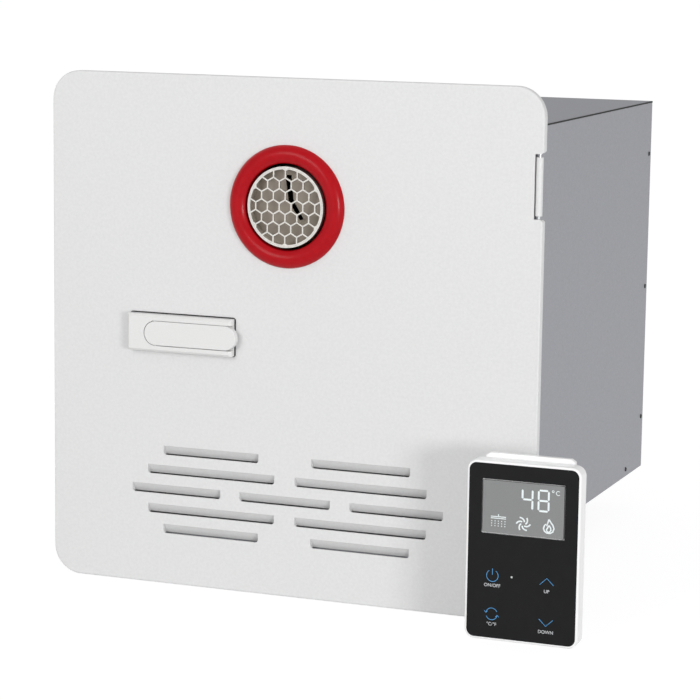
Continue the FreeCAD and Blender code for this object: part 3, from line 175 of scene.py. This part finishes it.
# %% [markdown]
# ## Painted and moulded finishes
#
# The door is sheet steel with a powder coat: the baked powder leaves a faint orange peel about a millimetre
# across and a satin gloss. The bezel ring is glossy stove enamel over steel. Latch and controller are
# moulded ABS, smoother than the paint, and the controller's is whiter. Only the ring has a clear coat, and
# a thin one, because the photograph shows its colour deep and its highlights soft.

# %% Powder coat, enamel and plastics
powder_coat = grain(new_material("white_powder_coat", "#E2E2E2", 0.42), 1.1, "#E0E0E0", "#E4E4E4", bump=0.03)
enamel_parts = new_material("red_stove_enamel", "#AF0815", 0.3)
enamel_parts[2].inputs["Specular IOR Level"].default_value = 0.13
enamel_parts[2].inputs["Coat Weight"].default_value = 0.06
enamel_parts[2].inputs["Coat Roughness"].default_value = 0.1
red_enamel = grain(enamel_parts, 2.0, "#AC0714", "#B20A17", bump=0.02)
white_abs = grain(new_material("white_moulded_abs", "#E6E6E5", 0.34), 0.6, "#E5E5E4", "#E7E7E6", bump=0.03)
bright_abs = grain(new_material("bright_white_abs", "#FAFAFA", 0.25), 0.6, "#F9F9F9", "#FBFBFB", bump=0.02)
black_abs = grain(new_material("black_moulded_abs", "#1A1A1B", 0.5), 0.5, "#171718", "#1D1D1E", bump=0.1)
red_abs = grain(new_material("red_moulded_abs", "#A01218", 0.3), 0.5, "#9C1016", "#A4141A", bump=0.04)
# Black rubber is the door seal's own colour; the same material also makes the strips of painted shade round
# the latch plate and along the case's top seams.
rubber_and_painted_shade = grain(new_material("black_rubber_and_painted_shade", "#161616", 0.75), 0.4, "#121212", "#1B1B1B", bump=0.2)
ceramic = grain(new_material("igniter_ceramic", "#DDD8CC", 0.55), 0.4, "#D8D2C5", "#E1DCD1", bump=0.1)

# %% [markdown]
# ## Sheet metals
#
# The case is aluminised steel: dull, blue-grey, with a fine grain from the hot-dip coating. Its sheets are
# seen lit from one side only, so a partly metallic shader with a high roughness gives the soft, broad
# shading of the photograph. The honeycomb guard and exhaust tube are brighter stainless steel, and heat has
# turned the plate behind them brown.

# %% Metals
case_metal = grain(new_material("aluminised_steel", "#9D9EA4", 0.48, metallic=0.42), 0.7,
                   "#999AA0", "#A2A3A9", bump=0.08, detail=4.0)
bright_stainless = grain(new_material("bright_stainless", "#DAD7D2", 0.24, metallic=0.85), 1.5, "#D2CFCA",
                         "#E2DFDA", bump=0.03)
heated_stainless = grain(new_material("heat_tinted_stainless", "#90877B", 0.38, metallic=0.4), 6.0, "#877E72",
                         "#998F84", bump=0.05)
plain_steel = grain(new_material("zinc_plated_steel", "#B9BBBD", 0.3, metallic=0.9), 0.8,
                    "#B2B4B6", "#C0C2C4", bump=0.05)
black_oxide = grain(new_material("black_oxide_steel", "#1C1C1E", 0.45, metallic=0.4), 0.5,
                    "#17171A", "#222224", bump=0.1)
copper = grain(new_material("drawn_copper", "#C07A56", 0.3, metallic=0.95), 5.0,
               "#B06C4A", "#C98763", bump=0.04)
brass = grain(new_material("turned_brass", "#C9A961", 0.3, metallic=0.95), 3.0,
              "#BE9E57", "#D1B26C", bump=0.03)
cast_alloy = grain(new_material("die_cast_zinc", "#A8A8A6", 0.5, metallic=0.8), 0.8, "#9E9E9C", "#B1B1AF",
                   bump=0.25)

# %% [markdown]
# ## Printed board, controller glass and display
#
# The controller's face is one sheet of tinted glass over a grey liquid-crystal display. Glass this dark
# lets nothing through, so it is an opaque, smooth, near-black dielectric. The display sits behind it, lit
# evenly, so it is matte with almost no texture. The circuit board is green solder mask on fibreglass.

# %% Glass, display and board
glass_parts = new_material("tinted_control_glass", "#161617", 0.12)
glass_parts[2].inputs["Specular IOR Level"].default_value = 0.16
black_glass = grain(glass_parts, 4.0, "#151516", "#171718")
lcd_grey = grain(new_material("lcd_panel", "#868787", 0.35), 0.5, "#858686", "#888989")
board_green = grain(new_material("green_solder_mask", "#14502A", 0.4), 0.8, "#114825", "#185A30", bump=0.1)
lcd_digit = grain(new_material("lcd_lit_segment", "#F2FAFB", 0.5), 0.5, "#F0F9FA", "#F4FBFC")
print_white = grain(new_material("white_screen_ink", "#D8DADC", 0.5), 0.3, "#D4D6D8", "#DCDEE0")
print_blue = grain(new_material("blue_screen_ink", "#58A6E2", 0.5), 0.3, "#53A1DE", "#5DAAE6")

# %% Finishes for the frame's nodes
FINISHES = (
    (case_metal, "left_side_panel right_side_panel top_panel bottom_tray rear_panel mounting_frame "
                 "stack_supports blower_casing blower_wheel"),
    (powder_coat, "door_panel hinge_barrels door_straps"),
    (red_enamel, "exhaust_ring"),
    (white_abs, "latch_plate latch_handle"),
    (bright_abs, "controller_case controller_wall_plate"),
    (black_abs, "latch_case gas_valve_coils flow_sensor control_box control_box_cover"),
    (red_abs, "power_rocker"),
    (rubber_and_painted_shade, "door_seal"),
    (bright_stainless, "exhaust_tube exhaust_guard"),
    (heated_stainless, "flue_deflector burner_box burner_bars flue_collector"),
    (plain_steel, "hinge_pins latch_pin latch_bolt latch_spring latch_screws ring_retainer relief_lever "
                  "lever_and_rocker_pins blower_shaft"),
    (black_oxide, "case_rivets blower_motor"),
    (copper, "combustion_chamber heat_exchanger_shell heat_exchanger_coil heat_exchanger_fins "
             "cold_supply_pipe cold_feed_pipe hot_water_pipe"),
    (brass, "gas_inlet_fitting water_fittings relief_valve"),
    (cast_alloy, "gas_valve gas_inlet_pipe gas_manifold gas_feed_pipe"),
    (ceramic, "igniter"),
    (board_green, "circuit_board"),
    (black_glass, "controller_glass"),
    (lcd_grey, "controller_display"),
)
finished = set()
for material, names in FINISHES:
    for name in names.split():
        for slot in nodes[name].material_slots:
            slot.material = material
        finished.add(name)
print("nodes without a finish:", sorted(set(nodes) - finished))


# %% [markdown]
# ## Moves that the added pieces share
#
# An operator works on what is selected, so each piece starts with nothing selected. Once a piece is shaped,
# its place is applied to its mesh and its object goes back to the origin, as the frame's own nodes have it.

# %% Selecting, joining and finishing a piece
def select_only(*pieces):
    """Deselect everything, then select these, with the last one active."""
    bpy.ops.object.select_all(action="DESELECT")
    for piece in pieces:
        piece.select_set(True)
    bpy.context.view_layer.objects.active = pieces[-1]


def settle(piece):
    """Apply place, turn and size to the mesh, so that the object sits at the origin."""
    select_only(piece)
    bpy.ops.object.transform_apply(location=True, rotation=True, scale=True)
    return piece


def join(name, pieces):
    """Make one mesh of several pieces."""
    select_only(*pieces)
    bpy.ops.object.join()
    piece = bpy.context.view_layer.objects.active
    piece.name = name
    return piece


def wear(piece, material, body):
    """Give a piece its material and the body that it rides on."""
    piece.data.materials.clear()
    piece.data.materials.append(material)
    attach(piece, body)


# %% [markdown]
# ## The latch's coil spring
#
# A coil of round wire pushes the bolt out again. The solid is a plain sleeve, and here it becomes a real
# coil: a small circle of wire is spun and lifted about the spring's axis with the Screw modifier, which is
# how the wire is wound on a mandrel.

# %% Coil spring
spring_low, spring_high = box_of("latch_spring")
spring_length = spring_high.x - spring_low.x
spring_radius = (spring_high.z - spring_low.z) / 2
WIRE_RADIUS = 0.35 * MM
SPRING_TURNS = 12

bpy.ops.object.select_all(action="DESELECT")
bpy.ops.mesh.primitive_circle_add(vertices=8, radius=WIRE_RADIUS, rotation=(math.radians(90), 0, 0),
                                  location=(spring_radius - WIRE_RADIUS, 0, 0))
spring = bpy.context.object
spring.name = "latch_coil_spring"
bpy.ops.object.transform_apply(location=True, rotation=True, scale=True)
winding = spring.modifiers.new("winding", "SCREW")
winding.axis = "Z"
winding.angle = math.radians(360)
winding.iterations = SPRING_TURNS
winding.screw_offset = (spring_length - WIRE_RADIUS * 2) / SPRING_TURNS
winding.steps = 20
winding.render_steps = 20
winding.use_smooth_shade = True
select_only(spring)
bpy.ops.object.modifier_apply(modifier="winding")
bpy.ops.object.mode_set(mode="EDIT")
bpy.ops.mesh.select_all(action="SELECT")
bpy.ops.mesh.remove_doubles(threshold=1e-7)
bpy.ops.mesh.select_all(action="DESELECT")
bpy.ops.mesh.select_mode(type="EDGE")
bpy.ops.mesh.select_non_manifold()
bpy.ops.mesh.edge_face_add()
bpy.ops.mesh.select_all(action="SELECT")
bpy.ops.mesh.normals_make_consistent(inside=False)
bpy.ops.object.mode_set(mode="OBJECT")
spring.rotation_euler = (0, math.radians(90), 0)
spring.location = (spring_low.x + WIRE_RADIUS, (spring_low.y + spring_high.y) / 2,
                   (spring_low.z + spring_high.z) / 2)
settle(spring)
wear(spring, plain_steel, "door")
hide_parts("latch_spring")
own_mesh(spring)
print("spring: %d turns over %.1f mm" % (SPRING_TURNS, spring_length * 1000))

# %% [markdown]
# ## Painted shade round the latch
#
# A thin black rim stands out a little all round the latch plate, and from the camera's side it shows as a
# dark line above the plate and at its right end. The rim is painted shade for the shadow round the plate.
# It is one plane with its corners rounded, inset to a frame and given its thickness.

# %% Painted shade rim round the latch
SHADE_RIM_PROUD = 0.8 * MM
SHADE_RIM_THICK = 0.7 * MM
SHADE_RIM_INSIDE = 0.2 * MM
SHADE_RIM_CORNER = 2.0 * MM
plate_low, plate_high = box_of("latch_plate")
bpy.ops.object.select_all(action="DESELECT")
bpy.ops.mesh.primitive_plane_add(size=1)
painted_shade_rim = bpy.context.object
painted_shade_rim.name = "latch_painted_shade_rim"
painted_shade_rim.dimensions = (plate_high.x - plate_low.x + 2 * SHADE_RIM_PROUD,
                     plate_high.z - plate_low.z + 2 * SHADE_RIM_PROUD, 0)
bpy.ops.object.transform_apply(location=True, rotation=True, scale=True)
bpy.ops.object.mode_set(mode="EDIT")
bpy.ops.mesh.select_all(action="SELECT")
bpy.ops.mesh.bevel(offset=SHADE_RIM_CORNER, segments=5, affect="VERTICES")
bpy.ops.mesh.select_all(action="SELECT")
bpy.ops.mesh.inset(thickness=SHADE_RIM_PROUD + SHADE_RIM_INSIDE)
bpy.ops.mesh.delete(type="FACE")
bpy.ops.mesh.select_all(action="SELECT")
bpy.ops.mesh.extrude_region_move(TRANSFORM_OT_translate={"value": (0, 0, SHADE_RIM_THICK)})
bpy.ops.mesh.select_all(action="SELECT")
bpy.ops.mesh.normals_make_consistent(inside=False)
bpy.ops.object.mode_set(mode="OBJECT")
painted_shade_rim_middle = (plate_low + plate_high) / 2
painted_shade_rim.matrix_world = (Matrix.Translation((painted_shade_rim_middle.x, plate_high.y, painted_shade_rim_middle.z))
                       @ Matrix.Rotation(math.radians(90), 4, "X"))
settle(painted_shade_rim)
# The black of this rim is painted shade for the dark line round the latch plate.
wear(painted_shade_rim, rubber_and_painted_shade, "door")
print("gasket: %.1f x %.1f mm" % tuple(1000 * s for s in (painted_shade_rim.dimensions.x, painted_shade_rim.dimensions.z)))

# %% [markdown]
# ## Painted shade along the case's top seams
#
# The top sheet's folded edge meets each side sheet along a straight seam. A thin dark strip along each seam,
# from front to back, is painted shade for the shadow line in the seam. It is a strip about a millimetre wide
# with softened edges, so a plane is drawn out to the seam's length, given its thickness and bevelled.

# %% Painted shade strips along the seams
SHADE_STRIP_WIDTH = 1.3 * MM
SHADE_STRIP_PROUD = 0.25 * MM
SHADE_STRIP_ROUND = 0.08 * MM
side_low, side_high = box_of("right_side_panel")
seam_shade_strips = []
for face_x, outward in ((side_high.x, 1), (-side_high.x, -1)):
    bpy.ops.object.select_all(action="DESELECT")
    bpy.ops.mesh.primitive_plane_add(size=1, rotation=(0, math.radians(90 * outward), 0))
    seam = bpy.context.object
    seam.dimensions = (SHADE_STRIP_WIDTH, side_high.y - side_low.y, 0)
    seam.location = (face_x, (side_low.y + side_high.y) / 2, side_high.z - SHADE_STRIP_WIDTH / 2)
    settle(seam)
    bpy.ops.object.mode_set(mode="EDIT")
    bpy.ops.mesh.select_all(action="SELECT")
    bpy.ops.mesh.extrude_region_move(TRANSFORM_OT_translate={"value": (SHADE_STRIP_PROUD * outward, 0, 0)})
    bpy.ops.mesh.select_all(action="SELECT")
    bpy.ops.mesh.normals_make_consistent(inside=False)
    bpy.ops.mesh.bevel(offset=SHADE_STRIP_ROUND, segments=2, affect="EDGES")
    bpy.ops.object.mode_set(mode="OBJECT")
    seam_shade_strips.append(seam)
seam_painted_shade = join("seam_painted_shade", seam_shade_strips)
# The black of these strips is painted shade for the shadow line along each top seam.
wear(seam_painted_shade, rubber_and_painted_shade, "heater")
print("painted_shade lines: %.0f mm long" % ((side_high.y - side_low.y) * 1000))

# %% [markdown]
# ## Printing on the controller
#
# Everything on the controller's face is flat: lit segments in the display, and screen ink on the glass.
# Each mark is laid out in millimetres on the face, with x to the right and y up, and then stood up against
# it. Digits are six-sided bars, so one bar is modelled, and copies of it are turned and moved into place.
# The line symbols start as a thin ribbon that follows a few points.

# %% Where the controller's face is
glass_low, glass_high = box_of("controller_glass")
lcd_low, lcd_high = box_of("controller_display")
INK = 0.06 * MM
glass_face = glass_low.y
lcd_face = lcd_low.y
print("glass %.1f x %.1f mm" % ((glass_high.x - glass_low.x) * 1000, (glass_high.z - glass_low.z) * 1000))


def stand_up(piece, x, z, face):
    """Stand a flat piece, modelled in the XY plane in metres, against a face that looks to -Y."""
    upright = Matrix.Rotation(math.radians(90), 4, "X")
    piece.matrix_world = Matrix.Translation((x, face - INK / 2, z)) @ upright
    return settle(piece)


# %% Segment bars for the digits
BAR_LENGTH = 6.5 * MM
BAR_WIDTH = 1.35 * MM


def segment_bar(x, y, upright):
    """One six-sided bar of a digit, centred on a point."""
    bpy.ops.object.select_all(action="DESELECT")
    bpy.ops.mesh.primitive_plane_add(size=1)
    bar = bpy.context.object
    bar.dimensions = (BAR_LENGTH, BAR_WIDTH, 0)
    bpy.ops.object.transform_apply(location=True, rotation=True, scale=True)
    bpy.ops.object.mode_set(mode="EDIT")
    bpy.ops.mesh.select_all(action="SELECT")
    bpy.ops.mesh.bevel(offset=BAR_WIDTH * 0.47, affect="VERTICES")
    bpy.ops.mesh.select_all(action="SELECT")
    bpy.ops.mesh.extrude_region_move(TRANSFORM_OT_translate={"value": (0, 0, INK)})
    bpy.ops.object.mode_set(mode="OBJECT")
    if upright:
        bar.rotation_euler = (0, 0, math.radians(90))
    bar.location = (x, y, 0)
    return settle(bar)


DIGIT_STEP = BAR_LENGTH + 0.7 * MM
HALF_STEP = 0.5 * DIGIT_STEP
SEGMENTS = {
    "top": (0, DIGIT_STEP, False), "middle": (0, 0, False), "bottom": (0, -DIGIT_STEP, False),
    "top_left": (-HALF_STEP, HALF_STEP, True), "top_right": (HALF_STEP, HALF_STEP, True),
    "low_left": (-HALF_STEP, -HALF_STEP, True), "low_right": (HALF_STEP, -HALF_STEP, True),
}
DIGITS = {
    "4": "top_left top_right middle low_right",
    "8": "top middle bottom top_left top_right low_left low_right",
}


def digit(name, figure, x, z):
    """One lit figure of the display."""
    bars = [segment_bar(*SEGMENTS[key]) for key in DIGITS[figure].split()]
    return stand_up(join(name, bars), x, z, lcd_face)


# %% Ribbon symbols
def ribbon(strokes, width):
    """Flat ribbons along lists of points in millimetres, as one mesh in the XY plane."""
    data = bpy.data.curves.new("ribbon", "CURVE")
    data.dimensions = "3D"
    data.bevel_depth = width / 2 * MM
    data.bevel_resolution = 1
    data.use_fill_caps = True
    for points in strokes:
        line = data.splines.new("POLY")
        line.points.add(len(points) - 1)
        for point, (x, y) in zip(line.points, points):
            point.co = (x * MM, y * MM, 0, 1)
    piece = bpy.data.objects.new("ribbon", data)
    bpy.context.scene.collection.objects.link(piece)
    select_only(piece)
    bpy.ops.object.convert(target="MESH")
    piece = bpy.context.object
    piece.scale = (1, 1, INK / (width * MM))
    return settle(piece)


def arc(cx, cy, radius, start, stop, steps=16):
    """Points along a circle's arc, in degrees."""
    points = []
    for i in range(steps + 1):
        way = math.radians(start + (stop - start) * i / steps)
        points.append((cx + radius * math.cos(way), cy + radius * math.sin(way)))
    return points


def symbol(name, strokes, x, z, face, width=0.55):
    """A line symbol centred on a point of the controller."""
    piece = stand_up(ribbon(strokes, width), x, z, face)
    piece.name = name
    return piece


def lettering(name, text, size, x, z, face):
    """Small plain letters, centred on a point."""
    bpy.ops.object.select_all(action="DESELECT")
    bpy.ops.object.text_add()
    piece = bpy.context.object
    piece.data.body = text
    piece.data.size = size * MM
    piece.data.align_x = "CENTER"
    piece.data.align_y = "CENTER"
    piece.data.extrude = INK / 2
    bpy.ops.object.convert(target="MESH")
    piece = stand_up(bpy.context.object, x, z, face)
    piece.name = name
    return piece


# %% The display's figures and pictures
lcd_left = lcd_low.x
lcd_top = lcd_high.z


def on_lcd(x_mm, y_mm):
    """A place on the display, right and down from its top left corner."""
    return lcd_left + x_mm * MM, lcd_top - y_mm * MM


figures = [digit("temperature_tens", "4", *on_lcd(32.0, 11.2))]
figures.append(digit("temperature_units", "8", *on_lcd(43.6, 11.2)))
figures.append(symbol("degree_mark", [arc(0, 0, 0.7, 0, 360)], *on_lcd(50.2, 4.0), lcd_face, 0.5))
figures.append(lettering("celsius_letter", "C", 4.6, *on_lcd(53.6, 5.2), lcd_face))
spray = [[(-5.5, 2.4), (5.5, 2.4)], [(-5.5, 1.2), (5.5, 1.2)], [(0, 2.4), (0, 4.2)]]
for row in range(3):
    spray += [[(x, -0.4 - row * 1.7), (x, -1.1 - row * 1.7)] for x in (-4.8, -2.4, 0, 2.4, 4.8)]
figures.append(symbol("shower_picture", spray, *on_lcd(11.4, 27.6), lcd_face, 0.7))
FAN_BLADES = 6
BLADE_ROOT, BLADE_REACH, BLADE_SWEEP = 1.5, 3.6, 62
fan = []
for blade in range(FAN_BLADES):
    stroke = []
    for part in range(7):
        out = BLADE_ROOT + BLADE_REACH * part / 6
        way = math.radians(blade * 360 / FAN_BLADES + BLADE_SWEEP * part / 6)
        stroke.append((out * math.cos(way), out * math.sin(way)))
    fan.append(stroke)
figures.append(symbol("fan_picture", fan, *on_lcd(29.4, 28.6), lcd_face, 1.15))
outer_flame = [(0, 5.2), (1.4, 3.2), (3.0, 1.2), (3.8, -1.2), (3.0, -3.4), (1.2, -4.6), (-1.2, -4.6),
               (-3.0, -3.4), (-3.7, -1.4), (-3.0, 0.6), (-1.9, 1.6), (-1.2, 0.4), (-0.6, 2.8), (0, 5.2)]
inner_flame = [(0.2, 1.0), (1.4, -0.8), (1.7, -2.4), (0.6, -3.8), (-0.8, -3.8), (-1.6, -2.4), (-0.8, -1.0),
               (0.2, 1.0)]
flame = [outer_flame, inner_flame]
figures.append(symbol("flame_picture", flame, *on_lcd(47.6, 28.8), lcd_face, 1.1))
for piece in figures:
    wear(piece, lcd_digit, "controller")

# %% Touch marks and labels on the glass
glass_left = glass_low.x
glass_top = glass_high.z


def on_glass(x_mm, y_mm):
    """A place on the glass, right and down from its top left corner."""
    return glass_left + x_mm * MM, glass_top - y_mm * MM


power = [arc(0, 0, 4.2, 125, 415, 28), [(0, 5.0), (0, 0.6)]]
cycle = [arc(0, 0, 4.2, 25, 170, 14), arc(0, 0, 4.2, 205, 350, 14), [(-5.3, 1.9), (-4.1, 0.6), (-2.9, 1.9)],
         [(5.3, -1.9), (4.1, -0.6), (2.9, -1.9)]]
up = [[(-5.0, -2.2), (0, 2.6), (5.0, -2.2)]]
down = [[(-5.0, 2.2), (0, -2.6), (5.0, 2.2)]]
TOUCH_LINE = 0.42
touch_marks = [
    symbol("power_mark", power, *on_glass(18.2, 79.0), glass_face, TOUCH_LINE),
    symbol("cycle_mark", cycle, *on_glass(18.2, 106.3), glass_face, TOUCH_LINE),
    symbol("up_mark", up, *on_glass(57.5, 79.6), glass_face, TOUCH_LINE),
    symbol("down_mark", down, *on_glass(57.5, 108.4), glass_face, TOUCH_LINE),
]
for piece in touch_marks:
    wear(piece, print_blue, "controller")
LABEL_SIZE = 3.3
labels = [
    symbol("indicator_light", [arc(0, 0, 0.4, 0, 360, 10)], *on_glass(32.2, 78.8), glass_face, 0.8),
    lettering("power_label", "ON/OFF", LABEL_SIZE, *on_glass(18.2, 86.0), glass_face),
    lettering("up_label", "UP", LABEL_SIZE, *on_glass(57.5, 86.4), glass_face),
    lettering("unit_label", "\u00b0C/\u00b0F", LABEL_SIZE, *on_glass(18.2, 113.6), glass_face),
    lettering("down_label", "DOWN", LABEL_SIZE, *on_glass(57.5, 115.2), glass_face),
]
for piece in labels:
    wear(piece, print_white, "controller")
print("marks on the controller:", len(figures) + len(touch_marks) + len(labels))

# %% [markdown]
# ## Floor and light
#
# The photograph is a cut-out on white with hardly a shadow. A pale floor shows itself as white to the
# camera and in reflections, and still takes a little of the shadow. Lamps and sky light the heater only. A
# large soft lamp in front, a little to the left, makes the door the brightest face. A second one in front
# on the right lights the case's side and the controller's, and casts the controller's soft shadow on the
# door.

# %% Which rays look
def seen_by(tree, *rays):
    """One where a ray of any of these kinds looks, and zero elsewhere."""
    path = add_node(tree, "ShaderNodeLightPath")
    value = path.outputs[rays[0]]
    for ray in rays[1:]:
        either = add_node(tree, "ShaderNodeMath", {"operation": "MAXIMUM"})
        tree.links.new(value, either.inputs[0])
        tree.links.new(path.outputs[ray], either.inputs[1])
        value = either.outputs["Value"]
    return value


# %% Floor
FLOOR_RADIUS = 30.0
FLOOR_GAP = 0.5 * MM
FLOOR_GLOW = 1.21
GLOW_SHARE = 0.75

floor_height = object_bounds()[0][2] - FLOOR_GAP
bpy.ops.object.select_all(action="DESELECT")
bpy.ops.mesh.primitive_circle_add(vertices=96, radius=FLOOR_RADIUS, fill_type="NGON",
                                  location=(0, 0, floor_height))
floor = bpy.context.object
floor.name = "floor"
floor_material, floor_tree, floor_shader = new_material("pale_floor", "#D8D8D8", 0.9)
share = add_node(floor_tree, "ShaderNodeMath", {"operation": "MULTIPLY"})
watched = seen_by(floor_tree, "Is Camera Ray", "Is Glossy Ray", "Is Transmission Ray")
floor_tree.links.new(watched, share.inputs[0])
share.inputs[1].default_value = GLOW_SHARE
glow = add_node(floor_tree, "ShaderNodeEmission", {"Color": (1, 1, 1, 1), "Strength": FLOOR_GLOW})
blend_floor = add_node(floor_tree, "ShaderNodeMixShader", {}, {"Fac": share.outputs["Value"]})
floor_tree.links.new(floor_shader.outputs["BSDF"], blend_floor.inputs[1])
floor_tree.links.new(glow.outputs["Emission"], blend_floor.inputs[2])
floor_tree.links.new(blend_floor.outputs["Shader"], floor_tree.nodes["Material Output"].inputs["Surface"])
floor.data.materials.append(floor_material)
print("floor %.1f mm below the heater" % (FLOOR_GAP * 1000))

# %% World
WORLD_LIGHT = 0.58
world = bpy.data.worlds.new("studio")
bpy.context.scene.world = world
world.use_nodes = True
sky = world.node_tree
background = sky.nodes["Background"]
background.inputs["Color"].default_value = (1, 1, 1, 1)
strength = add_node(sky, "ShaderNodeMapRange", {"To Min": WORLD_LIGHT, "To Max": 1.0},
                    {"Value": seen_by(sky, "Is Camera Ray", "Is Transmission Ray")})
sky.links.new(strength.outputs["Result"], background.inputs["Strength"])
print("world light:", WORLD_LIGHT)


# %% Lamps
def soft_lamp(name, place, target, size, power):
    """A square area lamp that faces a point."""
    data = bpy.data.lights.new(name, "AREA")
    data.shape = "SQUARE"
    data.size = size
    data.energy = power
    lamp = bpy.data.objects.new(name, data)
    bpy.context.scene.collection.objects.link(lamp)
    direction = Vector(target) - Vector(place)
    lamp.matrix_world = Matrix.Translation(place) @ direction.to_track_quat("-Z", "Y").to_matrix().to_4x4()
    return lamp


soft_lamp("key_lamp", place=(-1.2, -5.0, 1.9), target=(0, 0, 0), size=2.4, power=82)
soft_lamp("side_lamp", place=(3.3, -2.7, 0.1), target=(0.1, 0, -0.05), size=1.0, power=73)

# %% View transform
bpy.context.scene.view_settings.view_transform = "Standard"
